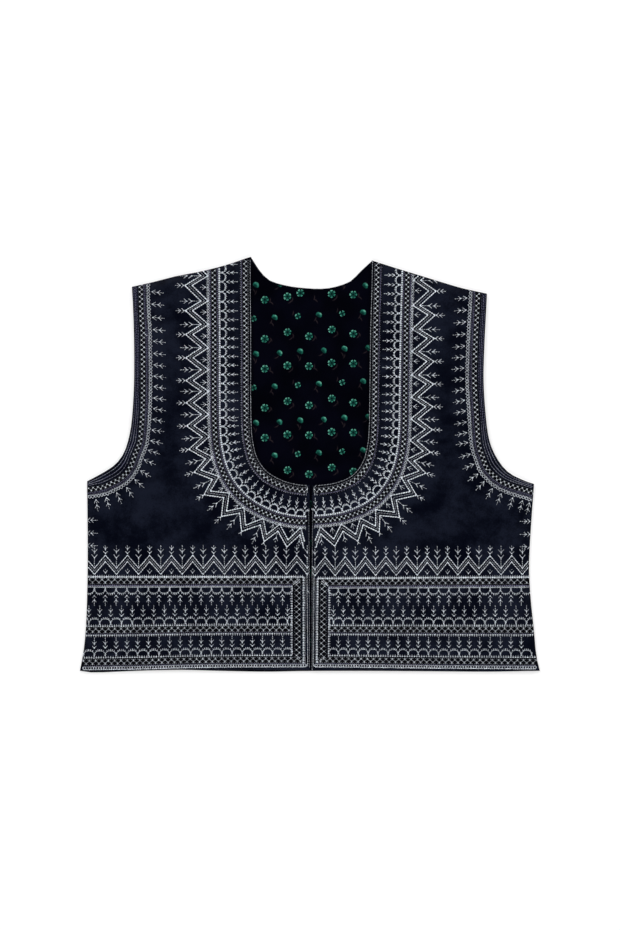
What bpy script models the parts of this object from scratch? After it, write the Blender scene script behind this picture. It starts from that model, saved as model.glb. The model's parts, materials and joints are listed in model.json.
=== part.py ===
"""Embroidered folk vest, sleeveless and cropped, laid flat with its front side up.

Six cut and sewn pieces: a satin back, its printed cotton lining, two satin fronts that
meet edge to edge down the centre, and an applied band round the neck edge of each front.

Frame: metres, +Z up, +Y towards the shoulders. Left and right are as seen from above,
so front_left is on the -X side. The vest's outline is centred on X = Y = 0, and its
underside is the plane Z = 0.
"""

import math
from collections import namedtuple

import bmesh
import bpy
import numpy as np
from mathutils import geometry

MM = 0.001

# --- cloth and stacking, millimetres ------------------------------------------------
BACK_WALL = 1.2            # satin with its backing
LINING_WALL = 1.0          # printed cotton, turned in at its edges
FRONT_WALL = 1.3           # embroidered satin with its backing
BAND_WALL = 1.0            # applied neck band
SEAM_GAP = 0.3             # between pieces that are sewn together
BAND_GAP = 0.4             # under the neck bands, where both cloths curve

BACK_TOP = BACK_WALL
LINING_BASE = BACK_TOP + SEAM_GAP
LINING_TOP = LINING_BASE + LINING_WALL
FRONT_BASE = LINING_TOP + SEAM_GAP        # a front where it lies on the lining
FRONT_SEAM_BASE = BACK_TOP + SEAM_GAP     # a front where it is sewn to the back

# --- edges, millimetres ----------------------------------------------------------------
SEAM_ROLL = 6.0            # width over which a front rolls down to its seams
LINING_INSET_SEAM = 7.0    # lining edge behind the side and shoulder seams
LINING_INSET_NECK = 1.6    # satin rim that shows round the back of the neck
LINING_INSET_ARMHOLE = 1.4
LINING_INSET_HEM = 0.5
BAND_WIDTH = 11.3
BAND_OVERHANG = 0.5        # band past the front's own neck edge
BAND_END_INSET = 0.4       # band's end behind the front's centre edge
BAND_CORNER = 3.0          # radius of the band's rounded end corners
RIM_ROUND = 0.35           # rounding of every cloth edge

# --- mesh spacing, millimetres -----------------------------------------------------------
OUTLINE_STEP = 8.0
FRONT_CELL = 19.0
BACK_CELL = 27.0
LINING_CELL = 22.0
BAND_STEP = 7.0
BAND_CELLS_ACROSS = 3

# --- outlines: (across from the centre line, up from the hem line), millimetres ---------
# Each side of a piece runs through its own landmarks on one smooth curve.
NECK_LEFT = ((-65, 448), (-65, 412), (-64.5, 369), (-64.5, 299), (-64, 267), (-62.5, 249.5),
             (-57.5, 230.5), (-46.5, 216), (-29.5, 206.5), (-14, 202.6), (-1.7, 201.6))
NECK_RIGHT = ((66, 444), (65.2, 412), (64, 369), (63, 299), (62.5, 267), (61, 247),
              (56, 227.5), (45, 212.8), (28.5, 205), (13.5, 202.2), (1.1, 201.5))
ARMHOLE_LEFT = ((-241.5, 206), (-230, 212), (-213, 222.5), (-202, 236.5), (-195.5, 258),
                (-192.6, 282), (-191, 315), (-191, 355), (-192, 390), (-193.5, 415.5))
ARMHOLE_RIGHT = ((240.5, 203), (229, 207), (213, 215.5), (201, 230), (192.5, 250),
                 (188.5, 278.5), (186.3, 315), (187.3, 355), (189, 388), (190, 408))
SIDE_LEFT = ((-249.5, 1), (-245.5, 22), (-243, 47), (-241.5, 85), (-241, 130), (-241.5, 206))
SIDE_RIGHT = ((247, 1), (243, 18), (240.5, 45), (236.5, 85), (235.5, 125), (240.5, 203))
SHOULDER_LEFT = ((-193.5, 415.5), (-171, 420.5), (-146, 427), (-120, 432), (-94, 438.5),
                 (-65, 448))
SHOULDER_RIGHT = ((190, 408), (165, 413.5), (139.5, 421), (113.5, 429), (87.5, 437),
                  (66, 444))
HEM_LEFT = ((-1.2, 1.9), (-77, 1.7), (-141, 2.3), (-185, 1.6), (-236, 0.8), (-249.5, 1))
HEM_RIGHT = ((0.5, 1.2), (62, 1.3), (128, 1.1), (193, 0.9), (247, 1))
BACK_NECK = ((-65, 448), (-54.5, 432), (-45, 423), (-34, 419), (-20, 416), (-5, 414.4),
             (9.5, 413.7), (22.5, 415), (36.5, 419), (44.5, 423.2), (53, 432), (66, 444))
BACK_HEM = ((-249.5, 1), (-236, -0.9), (-216, -0.3), (-185, 1), (-141, 1.9), (-100, 0.9),
            (-49, 0), (-6, 0.7), (62, 0.8), (128, 0.4), (193, 0), (247, 1))

# --- soft mounds in the cloth, millimetres, turned in degrees from +X --------------------
Mound = namedtuple("Mound", "across up turn half_length half_width rise")

# Where the satin of the fronts stands off what is under it.
FRONT_RIDGES = (
    Mound(-150, 415, 10, 34, 14, 1.5),        # full satin at the left shoulder
    Mound(-170, 340, 84, 70, 20, 0.9),
    Mound(-150, 190, 14, 80, 26, 1.2),
    Mound(-205, 150, -40, 46, 22, 0.9),
    Mound(-120, 60, 2, 110, 24, 0.8),
    Mound(-40, 150, 78, 44, 22, 0.8),
    Mound(148, 400, -14, 38, 15, 1.1),
    Mound(162, 335, 96, 70, 20, 0.9),
    Mound(150, 186, -16, 84, 27, 1.2),
    Mound(206, 140, 42, 48, 22, 0.9),
    Mound(118, 62, -2, 112, 24, 0.8),
    Mound(42, 148, 102, 44, 22, 0.8),
)
RIDGE_CLEAR = 20.0         # a ridge dies out over this distance from any edge

# Low waves in the lining that show through the neck opening.
LINING_WAVES = (
    Mound(-22, 372, 70, 46, 14, 0.7),
    Mound(26, 330, 100, 60, 16, 0.8),
    Mound(-6, 268, 20, 34, 15, 0.6),
)
WAVE_CLEAR = 16.0          # a wave dies out over this distance from a front's neck edge

COLOURS = {                # linear RGB, roughness
    "satin": ((0.0060, 0.0075, 0.0160), 0.42),
    "lining": ((0.0020, 0.0030, 0.0050), 0.85),
    "band": ((0.0080, 0.0090, 0.0150), 0.60),
}


# ---------------------------------------------------------------------------------------
# curves and distances, all in millimetres
# ---------------------------------------------------------------------------------------
def smooth_curve(landmarks, step):
    """Points about `step` apart on one smooth curve through the landmarks."""
    marks = np.array(landmarks, float)
    before = 2 * marks[0] - marks[1]
    after = 2 * marks[-1] - marks[-2]
    padded = np.vstack([before, marks, after])
    fine = []
    for p0, p1, p2, p3 in zip(padded, padded[1:], padded[2:], padded[3:]):
        for t in np.linspace(0, 1, 24, endpoint=False):
            fine.append(0.5 * (2 * p1 + (p2 - p0) * t
                               + (2 * p0 - 5 * p1 + 4 * p2 - p3) * t ** 2
                               + (3 * p1 - p0 - 3 * p2 + p3) * t ** 3))
    fine.append(marks[-1])
    fine = np.array(fine)
    travelled = np.concatenate([[0], np.cumsum(np.linalg.norm(np.diff(fine, axis=0), axis=1))])
    stops = np.linspace(0, travelled[-1], max(2, round(travelled[-1] / step)) + 1)
    return np.column_stack([np.interp(stops, travelled, fine[:, i]) for i in (0, 1)])


def distance_to(points, curve):
    """Distance from each point to the nearest place on a curve."""
    points = np.atleast_2d(points)
    starts, spans = curve[:-1], np.diff(curve, axis=0)
    offsets = points[:, None, :] - starts[None]
    along = np.clip((offsets * spans).sum(2) / (spans ** 2).sum(1), 0, 1)
    nearest = starts[None] + along[..., None] * spans[None]
    return np.linalg.norm(points[:, None, :] - nearest, axis=2).min(1)


def fade(distance, width):
    """0 at distance 0, rising smoothly to 1 at `width` and beyond."""
    t = np.clip(distance / width, 0, 1)
    return t * t * (3 - 2 * t)


def left_normals(curve):
    """Unit vectors square to a curve, on its left-hand side."""
    run = np.gradient(curve, axis=0)
    run /= np.linalg.norm(run, axis=1)[:, None]
    return np.column_stack([-run[:, 1], run[:, 0]])


def is_inside(points, loop):
    """Which points lie inside a closed outline (even-odd rule)."""
    x, y = points[:, 0, None], points[:, 1, None]
    x1, y1 = loop[:, 0], loop[:, 1]
    x2, y2 = np.roll(x1, -1), np.roll(y1, -1)
    straddles = (y1 > y) != (y2 > y)
    rise = np.where(y2 == y1, 1, y2 - y1)
    crosses = x < x1 + (y - y1) * (x2 - x1) / rise
    return (straddles & crosses).sum(1) % 2 == 1


# ---------------------------------------------------------------------------------------
# outlines: a piece is its sides by name, in order, counter-clockwise
# ---------------------------------------------------------------------------------------
def front_sides(left):
    """The sides of one front."""
    if left:
        neck, hem, side, armhole, shoulder = (NECK_LEFT, HEM_LEFT, SIDE_LEFT, ARMHOLE_LEFT,
                                              SHOULDER_LEFT)
    else:
        neck, hem, side, armhole, shoulder = (NECK_RIGHT, HEM_RIGHT, SIDE_RIGHT, ARMHOLE_RIGHT,
                                              SHOULDER_RIGHT)
    sides = {
        "neck": smooth_curve(neck, OUTLINE_STEP),
        "centre": smooth_curve((neck[-1], hem[0]), 2 * OUTLINE_STEP),
        "hem": smooth_curve(hem, OUTLINE_STEP),
        "side": smooth_curve(side, 1.5 * OUTLINE_STEP),
        "armhole": smooth_curve(armhole, OUTLINE_STEP),
        "shoulder": smooth_curve(shoulder, 1.5 * OUTLINE_STEP),
    }
    return turned_round(sides) if left else sides


def turned_round(sides):
    """The same sides in the opposite order, each run from its other end."""
    return {name: curve[::-1] for name, curve in reversed(list(sides.items()))}


def back_sides():
    """The sides of the back: the fronts' seams and armholes, its own neck and hem."""
    left, right = front_sides(True), front_sides(False)
    return {
        "hem": smooth_curve(BACK_HEM, 1.5 * OUTLINE_STEP),
        "side_right": right["side"],
        "armhole_right": right["armhole"],
        "shoulder_right": right["shoulder"],
        "neck": smooth_curve(BACK_NECK, OUTLINE_STEP)[::-1],
        "shoulder_left": left["shoulder"],
        "armhole_left": left["armhole"],
        "side_left": left["side"],
    }


def outline_of(sides):
    """The closed outline that the sides make, each corner once."""
    return np.vstack([curve[:-1] for curve in sides.values()])


def inset_sides(sides, insets):
    """The outline moved inwards, by its own distance on each side.

    Where two sides meet, the corner goes where both distances are kept.
    """
    curves = list(sides.values())
    amounts = [insets[name.split("_")[0]] for name in sides]
    points = []
    for i, (curve, amount) in enumerate(zip(curves, amounts)):
        normal = left_normals(curve)
        moved = curve[1:-1] + amount * normal[1:-1]
        clear = np.ones(len(moved), bool)
        for j in (i - 1, (i + 1) % len(curves)):
            clear &= distance_to(moved, curves[j]) > amounts[j] + 1.0
        points.extend(moved[clear])
        following = (i + 1) % len(curves)
        corner_normals = np.array([normal[-1], left_normals(curves[following])[0]])
        points.append(curve[-1] + np.linalg.solve(corner_normals, [amount, amounts[following]]))
    return np.array(points)


def filling_points(outline, cell, clear_of=()):
    """A staggered lattice inside an outline, kept off its edge and off other points."""
    low, high = outline.min(0), outline.max(0)
    row_height = cell * math.sqrt(3) / 2
    lattice = [(x + (row % 2) * cell / 2, y)
               for row, y in enumerate(np.arange(low[1], high[1], row_height))
               for x in np.arange(low[0], high[0], cell)]
    lattice = np.array(lattice)
    lattice = lattice[is_inside(lattice, outline)]
    loop = np.vstack([outline, outline[:1]])
    keep = distance_to(lattice, loop) > 0.55 * cell
    for others in clear_of:
        keep &= distance_to(lattice, others) > 0.55 * cell
    return lattice[keep]


# ---------------------------------------------------------------------------------------
# heights of the pieces' undersides
# ---------------------------------------------------------------------------------------
def mound_height(points, mounds):
    """Sum of soft oval mounds at each point."""
    total = np.zeros(len(points))
    for mound in mounds:
        angle = math.radians(mound.turn)
        offset = points - (mound.across, mound.up)
        along = offset @ (math.cos(angle), math.sin(angle)) / mound.half_length
        aside = offset @ (-math.sin(angle), math.cos(angle)) / mound.half_width
        total += mound.rise * np.exp(-along ** 2 - aside ** 2)
    return total


def front_underside(points, sides):
    """A front lies on the lining and rolls down to the back along its two seams."""
    seams = np.minimum(distance_to(points, sides["side"]), distance_to(points, sides["shoulder"]))
    edges = np.min([distance_to(points, curve) for curve in sides.values()], axis=0)
    lie = FRONT_SEAM_BASE + (FRONT_BASE - FRONT_SEAM_BASE) * fade(seams, SEAM_ROLL)
    return lie + mound_height(points, FRONT_RIDGES) * fade(edges, RIDGE_CLEAR)


def lining_underside(points):
    """The lining is flat but for low waves inside the neck opening."""
    left, right = front_sides(True)["neck"], front_sides(False)["neck"]
    opening = np.vstack([left[::-1], right[::-1]])
    within = is_inside(points, opening)
    clearance = np.minimum(distance_to(points, left), distance_to(points, right))
    return LINING_BASE + within * mound_height(points, LINING_WAVES) * fade(clearance, WAVE_CLEAR)


# ---------------------------------------------------------------------------------------
# making the pieces
# ---------------------------------------------------------------------------------------
HEM_LOW = min(up for _, up in BACK_HEM)
MIDDLE = np.array([(SIDE_LEFT[0][0] + SIDE_RIGHT[0][0]) / 2, (NECK_LEFT[0][1] + HEM_LOW) / 2])


def in_metres(points, heights):
    """Pattern points and their heights, as places in the part's frame."""
    flat = points - MIDDLE
    return [(x * MM, y * MM, z * MM) for (x, y), z in zip(flat, heights)]


def material(name):
    colour, roughness = COLOURS[name]
    made = bpy.data.materials.get(name) or bpy.data.materials.new(name)
    made.use_nodes = True
    shader = made.node_tree.nodes["Principled BSDF"]
    shader.inputs["Base Color"].default_value = (*colour, 1)
    shader.inputs["Roughness"].default_value = roughness
    shader.inputs["Metallic"].default_value = 0.0
    return made


def finish_cloth(name, mesh, wall, cloth, collection):
    """Give an open sheet its wall, upwards from its underside, and round its rims."""
    piece = bpy.data.objects.new(name, mesh)
    collection.objects.link(piece)
    mesh.materials.append(material(cloth))
    solidify = piece.modifiers.new("wall", "SOLIDIFY")
    solidify.thickness = wall * MM
    solidify.offset = 1
    bevel = piece.modifiers.new("rim", "BEVEL")
    bevel.width = RIM_ROUND * MM
    bevel.segments = 1
    bevel.limit_method = "ANGLE"
    bevel.angle_limit = math.radians(60)
    mesh.shade_smooth()
    mesh.set_sharp_from_angle(angle=math.radians(40))
    return piece


def sheet_mesh(name, outline, inner_points, underside):
    """A sheet of near-even triangles inside an outline, at the heights `underside` gives."""
    points = np.vstack([outline, inner_points])
    loop = list(range(len(outline)))
    flat, _, faces, *_ = geometry.delaunay_2d_cdt(points.tolist(), [], [loop], 1, 1e-4)
    flat = np.array([tuple(point) for point in flat])
    mesh = bpy.data.meshes.new(name)
    mesh.from_pydata(in_metres(flat, underside(flat)), [], faces)
    return mesh


def make_back(collection):
    outline = outline_of(back_sides())
    mesh = sheet_mesh("back", outline, filling_points(outline, BACK_CELL),
                      lambda points: np.zeros(len(points)))
    return finish_cloth("back", mesh, BACK_WALL, "satin", collection)


def make_lining(collection):
    insets = {"hem": LINING_INSET_HEM, "side": LINING_INSET_SEAM, "shoulder": LINING_INSET_SEAM,
              "armhole": LINING_INSET_ARMHOLE, "neck": LINING_INSET_NECK}
    outline = inset_sides(back_sides(), insets)
    loop = np.vstack([outline, outline[:1]])
    necks = []                                # the waves stop short of the fronts' neck edges
    for left in (True, False):
        neck = front_sides(left)["neck"][::2]
        necks.append(neck[is_inside(neck, outline) & (distance_to(neck, loop) > OUTLINE_STEP)])
    lattice = filling_points(outline, LINING_CELL, clear_of=necks)
    mesh = sheet_mesh("back_lining", outline, np.vstack([*necks, lattice]), lining_underside)
    return finish_cloth("back_lining", mesh, LINING_WALL, "lining", collection)


def make_front(name, left, collection):
    sides = front_sides(left)
    outline = outline_of(sides)
    loop = np.vstack([outline, outline[:1]])
    rolls = []
    for seam in (sides["side"], sides["shoulder"]):
        roll = seam + SEAM_ROLL * left_normals(seam)
        rolls.append(roll[distance_to(roll, loop) > 0.9 * SEAM_ROLL])
    lattice = filling_points(outline, FRONT_CELL, clear_of=rolls)
    mesh = sheet_mesh(name, outline, np.vstack([*rolls, lattice]),
                      lambda points: front_underside(points, sides))
    return finish_cloth(name, mesh, FRONT_WALL, "satin", collection)


def make_band(name, left, collection):
    """The applied band: a strip along the neck edge with a rounded end at the centre."""
    landmarks, shoulder = ((NECK_LEFT, SHOULDER_LEFT[::-1]) if left
                           else (NECK_RIGHT, SHOULDER_RIGHT[::-1]))
    sides = front_sides(left)
    curve = smooth_curve(landmarks, 1.0)
    outwards = left_normals(curve) * (-1 if left else 1)
    travelled = np.concatenate([[0], np.cumsum(np.linalg.norm(np.diff(curve, axis=0), axis=1))])
    end = travelled[-1] - BAND_END_INSET
    (x0, y0), (x1, y1) = shoulder[0], shoulder[1]
    rake = (y0 - y1) / abs(x1 - x0)           # the shoulder seam cuts the band at a slant

    bm = bmesh.new()
    bmesh.ops.create_grid(bm, x_segments=round(end / BAND_STEP), y_segments=BAND_CELLS_ACROSS,
                          size=1)
    places = []
    for vert in bm.verts:
        along, across = (vert.co.x + 1) / 2, (vert.co.y + 1) / 2
        offset = across * BAND_WIDTH - BAND_OVERHANG
        start = max(0, rake * offset)
        stop = start + along * (end - start)
        short = max(0, BAND_CORNER - (end - stop))
        corner = BAND_CORNER - math.sqrt(BAND_CORNER ** 2 - short ** 2)
        offset += corner * (1 - 2 * across)
        place = [np.interp(stop, travelled, curve[:, i])
                 + offset * np.interp(stop, travelled, outwards[:, i]) for i in (0, 1)]
        places.append(place)
    places = np.array(places)
    heights = front_underside(places, sides) + FRONT_WALL + BAND_GAP
    for vert, place in zip(bm.verts, in_metres(places, heights)):
        vert.co = place
    bmesh.ops.recalc_face_normals(bm, faces=bm.faces)
    if sum(face.normal.z for face in bm.faces) < 0:
        bmesh.ops.reverse_faces(bm, faces=bm.faces)
    mesh = bpy.data.meshes.new(name)
    bm.to_mesh(mesh)
    bm.free()
    return finish_cloth(name, mesh, BAND_WALL, "band", collection)


def main():
    for old in list(bpy.data.objects):
        bpy.data.objects.remove(old, do_unlink=True)
    collection = bpy.data.collections.new("embroidered_folk_vest")
    bpy.context.scene.collection.children.link(collection)
    make_back(collection)
    make_lining(collection)
    make_front("front_left", True, collection)
    make_front("front_right", False, collection)
    make_band("neck_band_left", True, collection)
    make_band("neck_band_right", False, collection)


main()
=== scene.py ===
# %% [markdown]
# # An embroidered folk vest, laid flat
#
# A cropped vest without sleeves lies on its back with its front up. It is cut from dark
# satin, lined with a small flower print, and covered with rows of thread: nets, scallops,
# sprigs, zigzags and braids in off-white and grey.
#
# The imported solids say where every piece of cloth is, so they are loaded first and nothing
# in them is moved. Each cloth is then shown by a finer shell, and the thread is sewn on it.

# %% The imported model
import json
import math
from collections import namedtuple

import bmesh
import bpy
import numpy as np
from mathutils import Matrix, Vector, bvhtree, kdtree

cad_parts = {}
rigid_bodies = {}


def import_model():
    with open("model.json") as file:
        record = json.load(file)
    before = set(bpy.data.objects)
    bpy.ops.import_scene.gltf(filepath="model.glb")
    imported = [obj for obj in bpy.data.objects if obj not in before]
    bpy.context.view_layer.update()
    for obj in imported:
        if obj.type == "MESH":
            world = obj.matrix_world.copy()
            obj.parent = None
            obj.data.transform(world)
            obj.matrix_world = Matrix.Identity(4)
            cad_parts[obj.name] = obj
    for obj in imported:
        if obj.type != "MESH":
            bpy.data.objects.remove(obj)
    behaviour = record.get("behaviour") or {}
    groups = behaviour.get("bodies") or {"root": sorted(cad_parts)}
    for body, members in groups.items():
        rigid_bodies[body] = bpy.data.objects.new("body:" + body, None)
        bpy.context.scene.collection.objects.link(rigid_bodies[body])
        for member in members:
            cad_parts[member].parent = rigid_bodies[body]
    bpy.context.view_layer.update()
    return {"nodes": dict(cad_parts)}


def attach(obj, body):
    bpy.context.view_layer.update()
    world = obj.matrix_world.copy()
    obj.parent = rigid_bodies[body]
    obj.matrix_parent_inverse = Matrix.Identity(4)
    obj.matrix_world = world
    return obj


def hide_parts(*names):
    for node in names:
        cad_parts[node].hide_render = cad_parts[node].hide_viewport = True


for leftover in list(bpy.data.objects):
    bpy.data.objects.remove(leftover, do_unlink=True)
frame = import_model()
MM = 0.001
SIDES = ("left", "right")       # of the picture, so the vest's own right front is "left"
print("nodes:", ", ".join(sorted(frame["nodes"])))

# %% [markdown]
# ## Camera
# The vest is seen straight from above, so no side of it looks longer than the other. A long
# lens far away keeps it free of perspective. The lens follows from how much of the surface
# the long side of the picture takes in.

# %% Camera
SEEN_LENGTH = 1.0044            # metres of the surface along the picture's long side
CAMERA_UP = 2.4                 # metres over the cloth
CLOTH_TOP = 0.003
CAMERA_ASIDE = (0.00017, -0.00021)


def add_object(name, data):
    """A new object in the scene, unturned and at the origin."""
    made = bpy.data.objects.new(name, data)
    bpy.context.scene.collection.objects.link(made)
    return made


camera_data = bpy.data.cameras.new("camera")
camera_data.sensor_width = 36
camera_data.lens = camera_data.sensor_width * CAMERA_UP / SEEN_LENGTH
camera = add_object("camera", camera_data)
camera.location = (*CAMERA_ASIDE, CAMERA_UP + CLOTH_TOP)
bpy.context.scene.camera = camera
print(f"lens {camera_data.lens:.1f} mm")

# %% [markdown]
# ## Finishes in code
# A finish is a network of shader nodes. Written node by node it is hard to read, so a small
# class wraps a socket and gives it the signs of arithmetic: `1 - mask` then adds the Math
# node by itself. Every other node comes from one method, which takes the node's type, its
# settings, and the values or links of its sockets.

# %% Wire and Finish
class Wire:
    """One node's output, ready for arithmetic."""

    def __init__(self, finish, socket):
        self.finish, self.socket = finish, socket

    def math(self, operation, *values):
        return self.finish.node("Math", {"operation": operation}, dict(enumerate(values)))

    def put(self, operation, *others):
        """This wire through a Math node, such as SINE, or MAXIMUM with another."""
        return self.math(operation, self, *others)

    def part(self, axis):
        """One of the three numbers of a vector."""
        return self.finish.node("SeparateXYZ", values={0: self}, output=axis)

    def __add__(self, other):
        return self.math("ADD", self, other)

    def __sub__(self, other):
        return self.math("SUBTRACT", self, other)

    def __rsub__(self, other):
        return self.math("SUBTRACT", other, self)

    def __mul__(self, other):
        return self.math("MULTIPLY", self, other)

    def __truediv__(self, other):
        return self.math("DIVIDE", self, other)

    __radd__, __rmul__ = __add__, __mul__


class Finish:
    """A material being built round one Principled shader."""

    def __init__(self, name, **constants):
        self.material = bpy.data.materials.new(name)
        self.material.use_nodes = True
        self.tree = self.material.node_tree
        self.shader = self.tree.nodes["Principled BSDF"]
        for socket, value in constants.items():
            self.shader.inputs[socket.replace("_", " ")].default_value = value

    def node(self, kind, settings=None, values=None, output=0):
        made = self.tree.nodes.new("ShaderNode" + kind)
        for setting, value in (settings or {}).items():
            if setting == "stops":
                ramp = made.color_ramp.elements
                while len(ramp) < len(value):
                    ramp.new(1.0)
                for element, (place, colour) in zip(ramp, value):
                    element.position, element.color = place, (*colour, 1)
            else:
                setattr(made, setting, value)
        for socket, value in (values or {}).items():
            if isinstance(value, Wire):
                self.tree.links.new(value.socket, made.inputs[socket])
            else:
                made.inputs[socket].default_value = value
        return Wire(self, made.outputs[output])

    def shade(self, **wires):
        for socket, wire in wires.items():
            self.tree.links.new(wire.socket, self.shader.inputs[socket.replace("_", " ")])
        return self.material


# %% [markdown]
# A few words come back in every finish: the place on the cloth in millimetres, soft noise of
# a given grain, a step with soft shoulders, and a blend of two colours.

# %% Words for the finishes
def place_mm(finish):
    """The point on the piece, in millimetres of the frame."""
    place = finish.node("TexCoord", output=3)
    return finish.node("VectorMath", {"operation": "SCALE"}, {0: place, "Scale": 1 / MM})


def noise(finish, place, grain, detail=2.0, rough=0.5):
    """Soft noise from about 0.2 to 0.8, its blobs about `grain` millimetres across."""
    return finish.node("TexNoise", {"noise_dimensions": "3D"},
                       {"Vector": place, "Scale": 1.0 / grain, "Detail": detail,
                        "Roughness": rough})


def step(finish, value, low, high):
    """0 below `low`, 1 above `high`, with soft shoulders between."""
    return finish.node("MapRange", {"interpolation_type": "SMOOTHSTEP"},
                       {"Value": value, "From Min": low, "From Max": high})


def blend(finish, mask, first, second):
    """The first colour where the mask is 0, the second where it is 1."""
    colours = {6: (*first, 1) if isinstance(first, tuple) else first,
               7: (*second, 1) if isinstance(second, tuple) else second}
    return finish.node("Mix", {"data_type": "RGBA"}, {0: mask, **colours}, output=2)


def bumped(finish, height, distance):
    """A bump for the shader's Normal, `distance` millimetres for a height of 1."""
    return finish.node("Bump", {}, {"Height": height, "Distance": distance * MM})


# %% [markdown]
# ## Satin
# Satin is smooth, but laid down it is never one even black: its sheen comes and goes in slow
# cloudy patches, and in a fine grain where the weave catches light. That sheen is painted into
# the colour, which goes lighter and darker with the clouds and the grain; the roughness follows
# the clouds too, and a small bump gives the grain. Puckers about a stitch row wide keep the
# sheen from looking like plastic.
#
# Under a net the satin lies in the shade of its threads and looks black; that shade is painted
# into the satin's colour. The front's mesh carries an attribute `rows` for it: how far a point
# is from the neck edge, how far from the armhole's braid, and how far below the top line of the
# hem, all in millimetres.

# %% Satin
NET_STRIPS = ((36.6, 43.6), (-11.4, -5.2), (1.6, 9.1), (54.6, 62.2), (89.0, 96.5))
NET_AXIS = (0, 1, 2, 2, 2)      # which of the three distances each strip is told by
POST_STRIP = (9.4, 18.4)        # the upright net, across from the middle of the frame
POST_DROP = (4.0, 97.0)         # and its drop below the top line of the hem
# painted shade: the colour that the satin takes under a net
SHADE = (0.0, 0.0, 0.0004)      # satin in the shade of a net
SHADE_SHARE = 0.85
FRONT_SATIN = ((0.0004, 0.0010, 0.0043), (0.0064, 0.0086, 0.0176))      # dark, light
BACK_SATIN = ((0.0006, 0.0013, 0.0050), (0.0062, 0.0082, 0.0165))
CLOUD, MOTTLE, WEAVE = 38.0, 9.0, 1.5   # how wide the blotches of each kind are, millimetres
PUCKER = 0.55                   # how deep the puckers look, millimetres


def between(finish, value, low, high, soft=0.5):
    """1 from `low` to `high`, 0 outside."""
    return step(finish, value, low - soft, low + soft) \
        * (1.0 - step(finish, value, high - soft, high + soft))


def under_nets(finish, across):
    """1 on the strips of cloth that lie under a net, where the shade is painted."""
    rows = finish.node("Attribute", {"attribute_name": "rows"}, output=1)
    strips = between(finish, across.put("ABSOLUTE"), *POST_STRIP) \
        * between(finish, rows.part(2), *POST_DROP)
    for axis, (low, high) in zip(NET_AXIS, NET_STRIPS):
        strips = strips.put("MAXIMUM", between(finish, rows.part(axis), low, high))
    return strips


def make_satin(name, dark, light, sewn=False):
    """Satin between two colours; where it is `sewn`, painted shade darkens it under the nets.
    """
    satin = Finish(name, Specular_IOR_Level=0.05)
    place = place_mm(satin)
    across, up = place.part(0), place.part(1)
    clouds = noise(satin, place, CLOUD, detail=3.0)
    mottle = noise(satin, place, MOTTLE)
    grain = noise(satin, place, WEAVE, rough=0.7)
    twill = ((across * 2.0 + up) * 6.0).put("SINE")
    # painted sheen: the colour goes lighter and darker with the clouds, the mottle and the
    # grain
    depth = step(satin, clouds * 0.5 + mottle * 0.25 + grain * 0.25, 0.40, 0.62)
    colour = blend(satin, depth, dark, light)
    if sewn:
        # painted shade under the nets
        colour = blend(satin, under_nets(satin, across) * SHADE_SHARE, colour, SHADE)
    height = mottle * 0.55 + grain * 0.30 + twill * 0.02
    return satin.shade(Base_Color=colour, Roughness=0.30 + clouds * 0.16,
                       Normal=bumped(satin, height, PUCKER))


front_satin = make_satin("front_satin", *FRONT_SATIN, sewn=True)
back_satin = make_satin("back_satin", *BACK_SATIN)
print("satin:", front_satin.name, back_satin.name)

# %% [markdown]
# ## The lining's print
# The cotton is printed with small green flowers and buds on faint brown stems, over black.
# Print repeats, so the pattern is worked out once inside a tile: a wire holds how far a point
# is from each motif of the tile, wrapped so that it never reaches past half a tile. The rows
# climb gently to the right, which is a shear of the tile and not a turn.

# %% Tile of the print
TILE = (47.8, 74.5)                     # millimetres, across and up
TILE_START = (-48.7, 138.9)             # the first flower, in the frame
TILE_CLIMB = 0.0585                     # rise of a row for each millimetre across

Flower = namedtuple("Flower", "middle size petals turn")
Bud = namedtuple("Bud", "middle turn wide tall")
# the two loose motifs are each printed astray once, near the back neck
FLOWERS = (Flower((0.0, 0.0), 4.0, 6, 0.6), Flower((24.6, 5.8), 3.95, 7, 2.2),
           Flower((24.4, -30.2), 4.1, 6, 1.4), Flower((-12.0, -52.0), 3.1, 4, 0.9))
LOOSE_FLOWER = Flower((0.0, -32.3), 4.0, 6, 3.4)
BUDS = (Bud((-9.3, -15.7), 0.75, 3.7, 2.7), Bud((10.9, -52.0), 0.70, 3.6, 2.6))
LOOSE_BUD = Bud((16.2, -16.3), 0.95, 3.4, 2.6)
LEAVES = (((5.5, -3.5), 0.6), ((7.0, -1.0), -0.5), ((28.5, -1.5), 0.9), ((31.0, 1.5), -0.2),
          ((6.0, -33.0), 0.1), ((7.5, -36.0), -0.9), ((27.5, -36.5), 0.9), ((30.0, -34.0), 0.3),
          ((-11.5, -21.5), -0.5), ((-9.5, -24.0), 0.4), ((13.0, -21.0), 1.1),
          ((7.0, -56.5), 0.5), ((8.5, -59.0), -0.6), ((-17.0, -48.5), 0.2))


def from_motif(finish, across, up, middle):
    """How far a point is from a motif's middle, across and up."""
    away = []
    for axis, wire in enumerate((across, up)):
        size = TILE[axis]
        shifted = wire - (TILE_START[axis] + middle[axis] - size / 2)
        away.append(shifted - (shifted / size).put("FLOOR") * size - size / 2)
    return away


print(f"a tile of the print is {TILE[0]} x {TILE[1]} mm")

# %% [markdown]
# A flower has round petals about a dark eye. Its rim is a circle that is cut by narrow
# clefts: the size of the cosine of half the petals' number times the angle does that, as it
# falls to nothing once for every petal. A bud is three ovals side by side, dark below, and
# it lies aslant. A flower is lighter towards its upper left and a bud towards its top, as if
# lit from above. Leaves are brown dabs, too dull to read as more.

# %% Motifs of the print
INK_RIM = 0.35                          # half the soft rim of printed ink, millimetres
LEAF_WIDE, LEAF_TALL, LEAF_BEND = 0.55, 2.3, 0.08


def soft_edge(finish, distance):
    """1 inside an outline, 0 outside it, with the soft rim of printed ink."""
    return 1.0 - step(finish, distance, -INK_RIM, INK_RIM)


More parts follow.
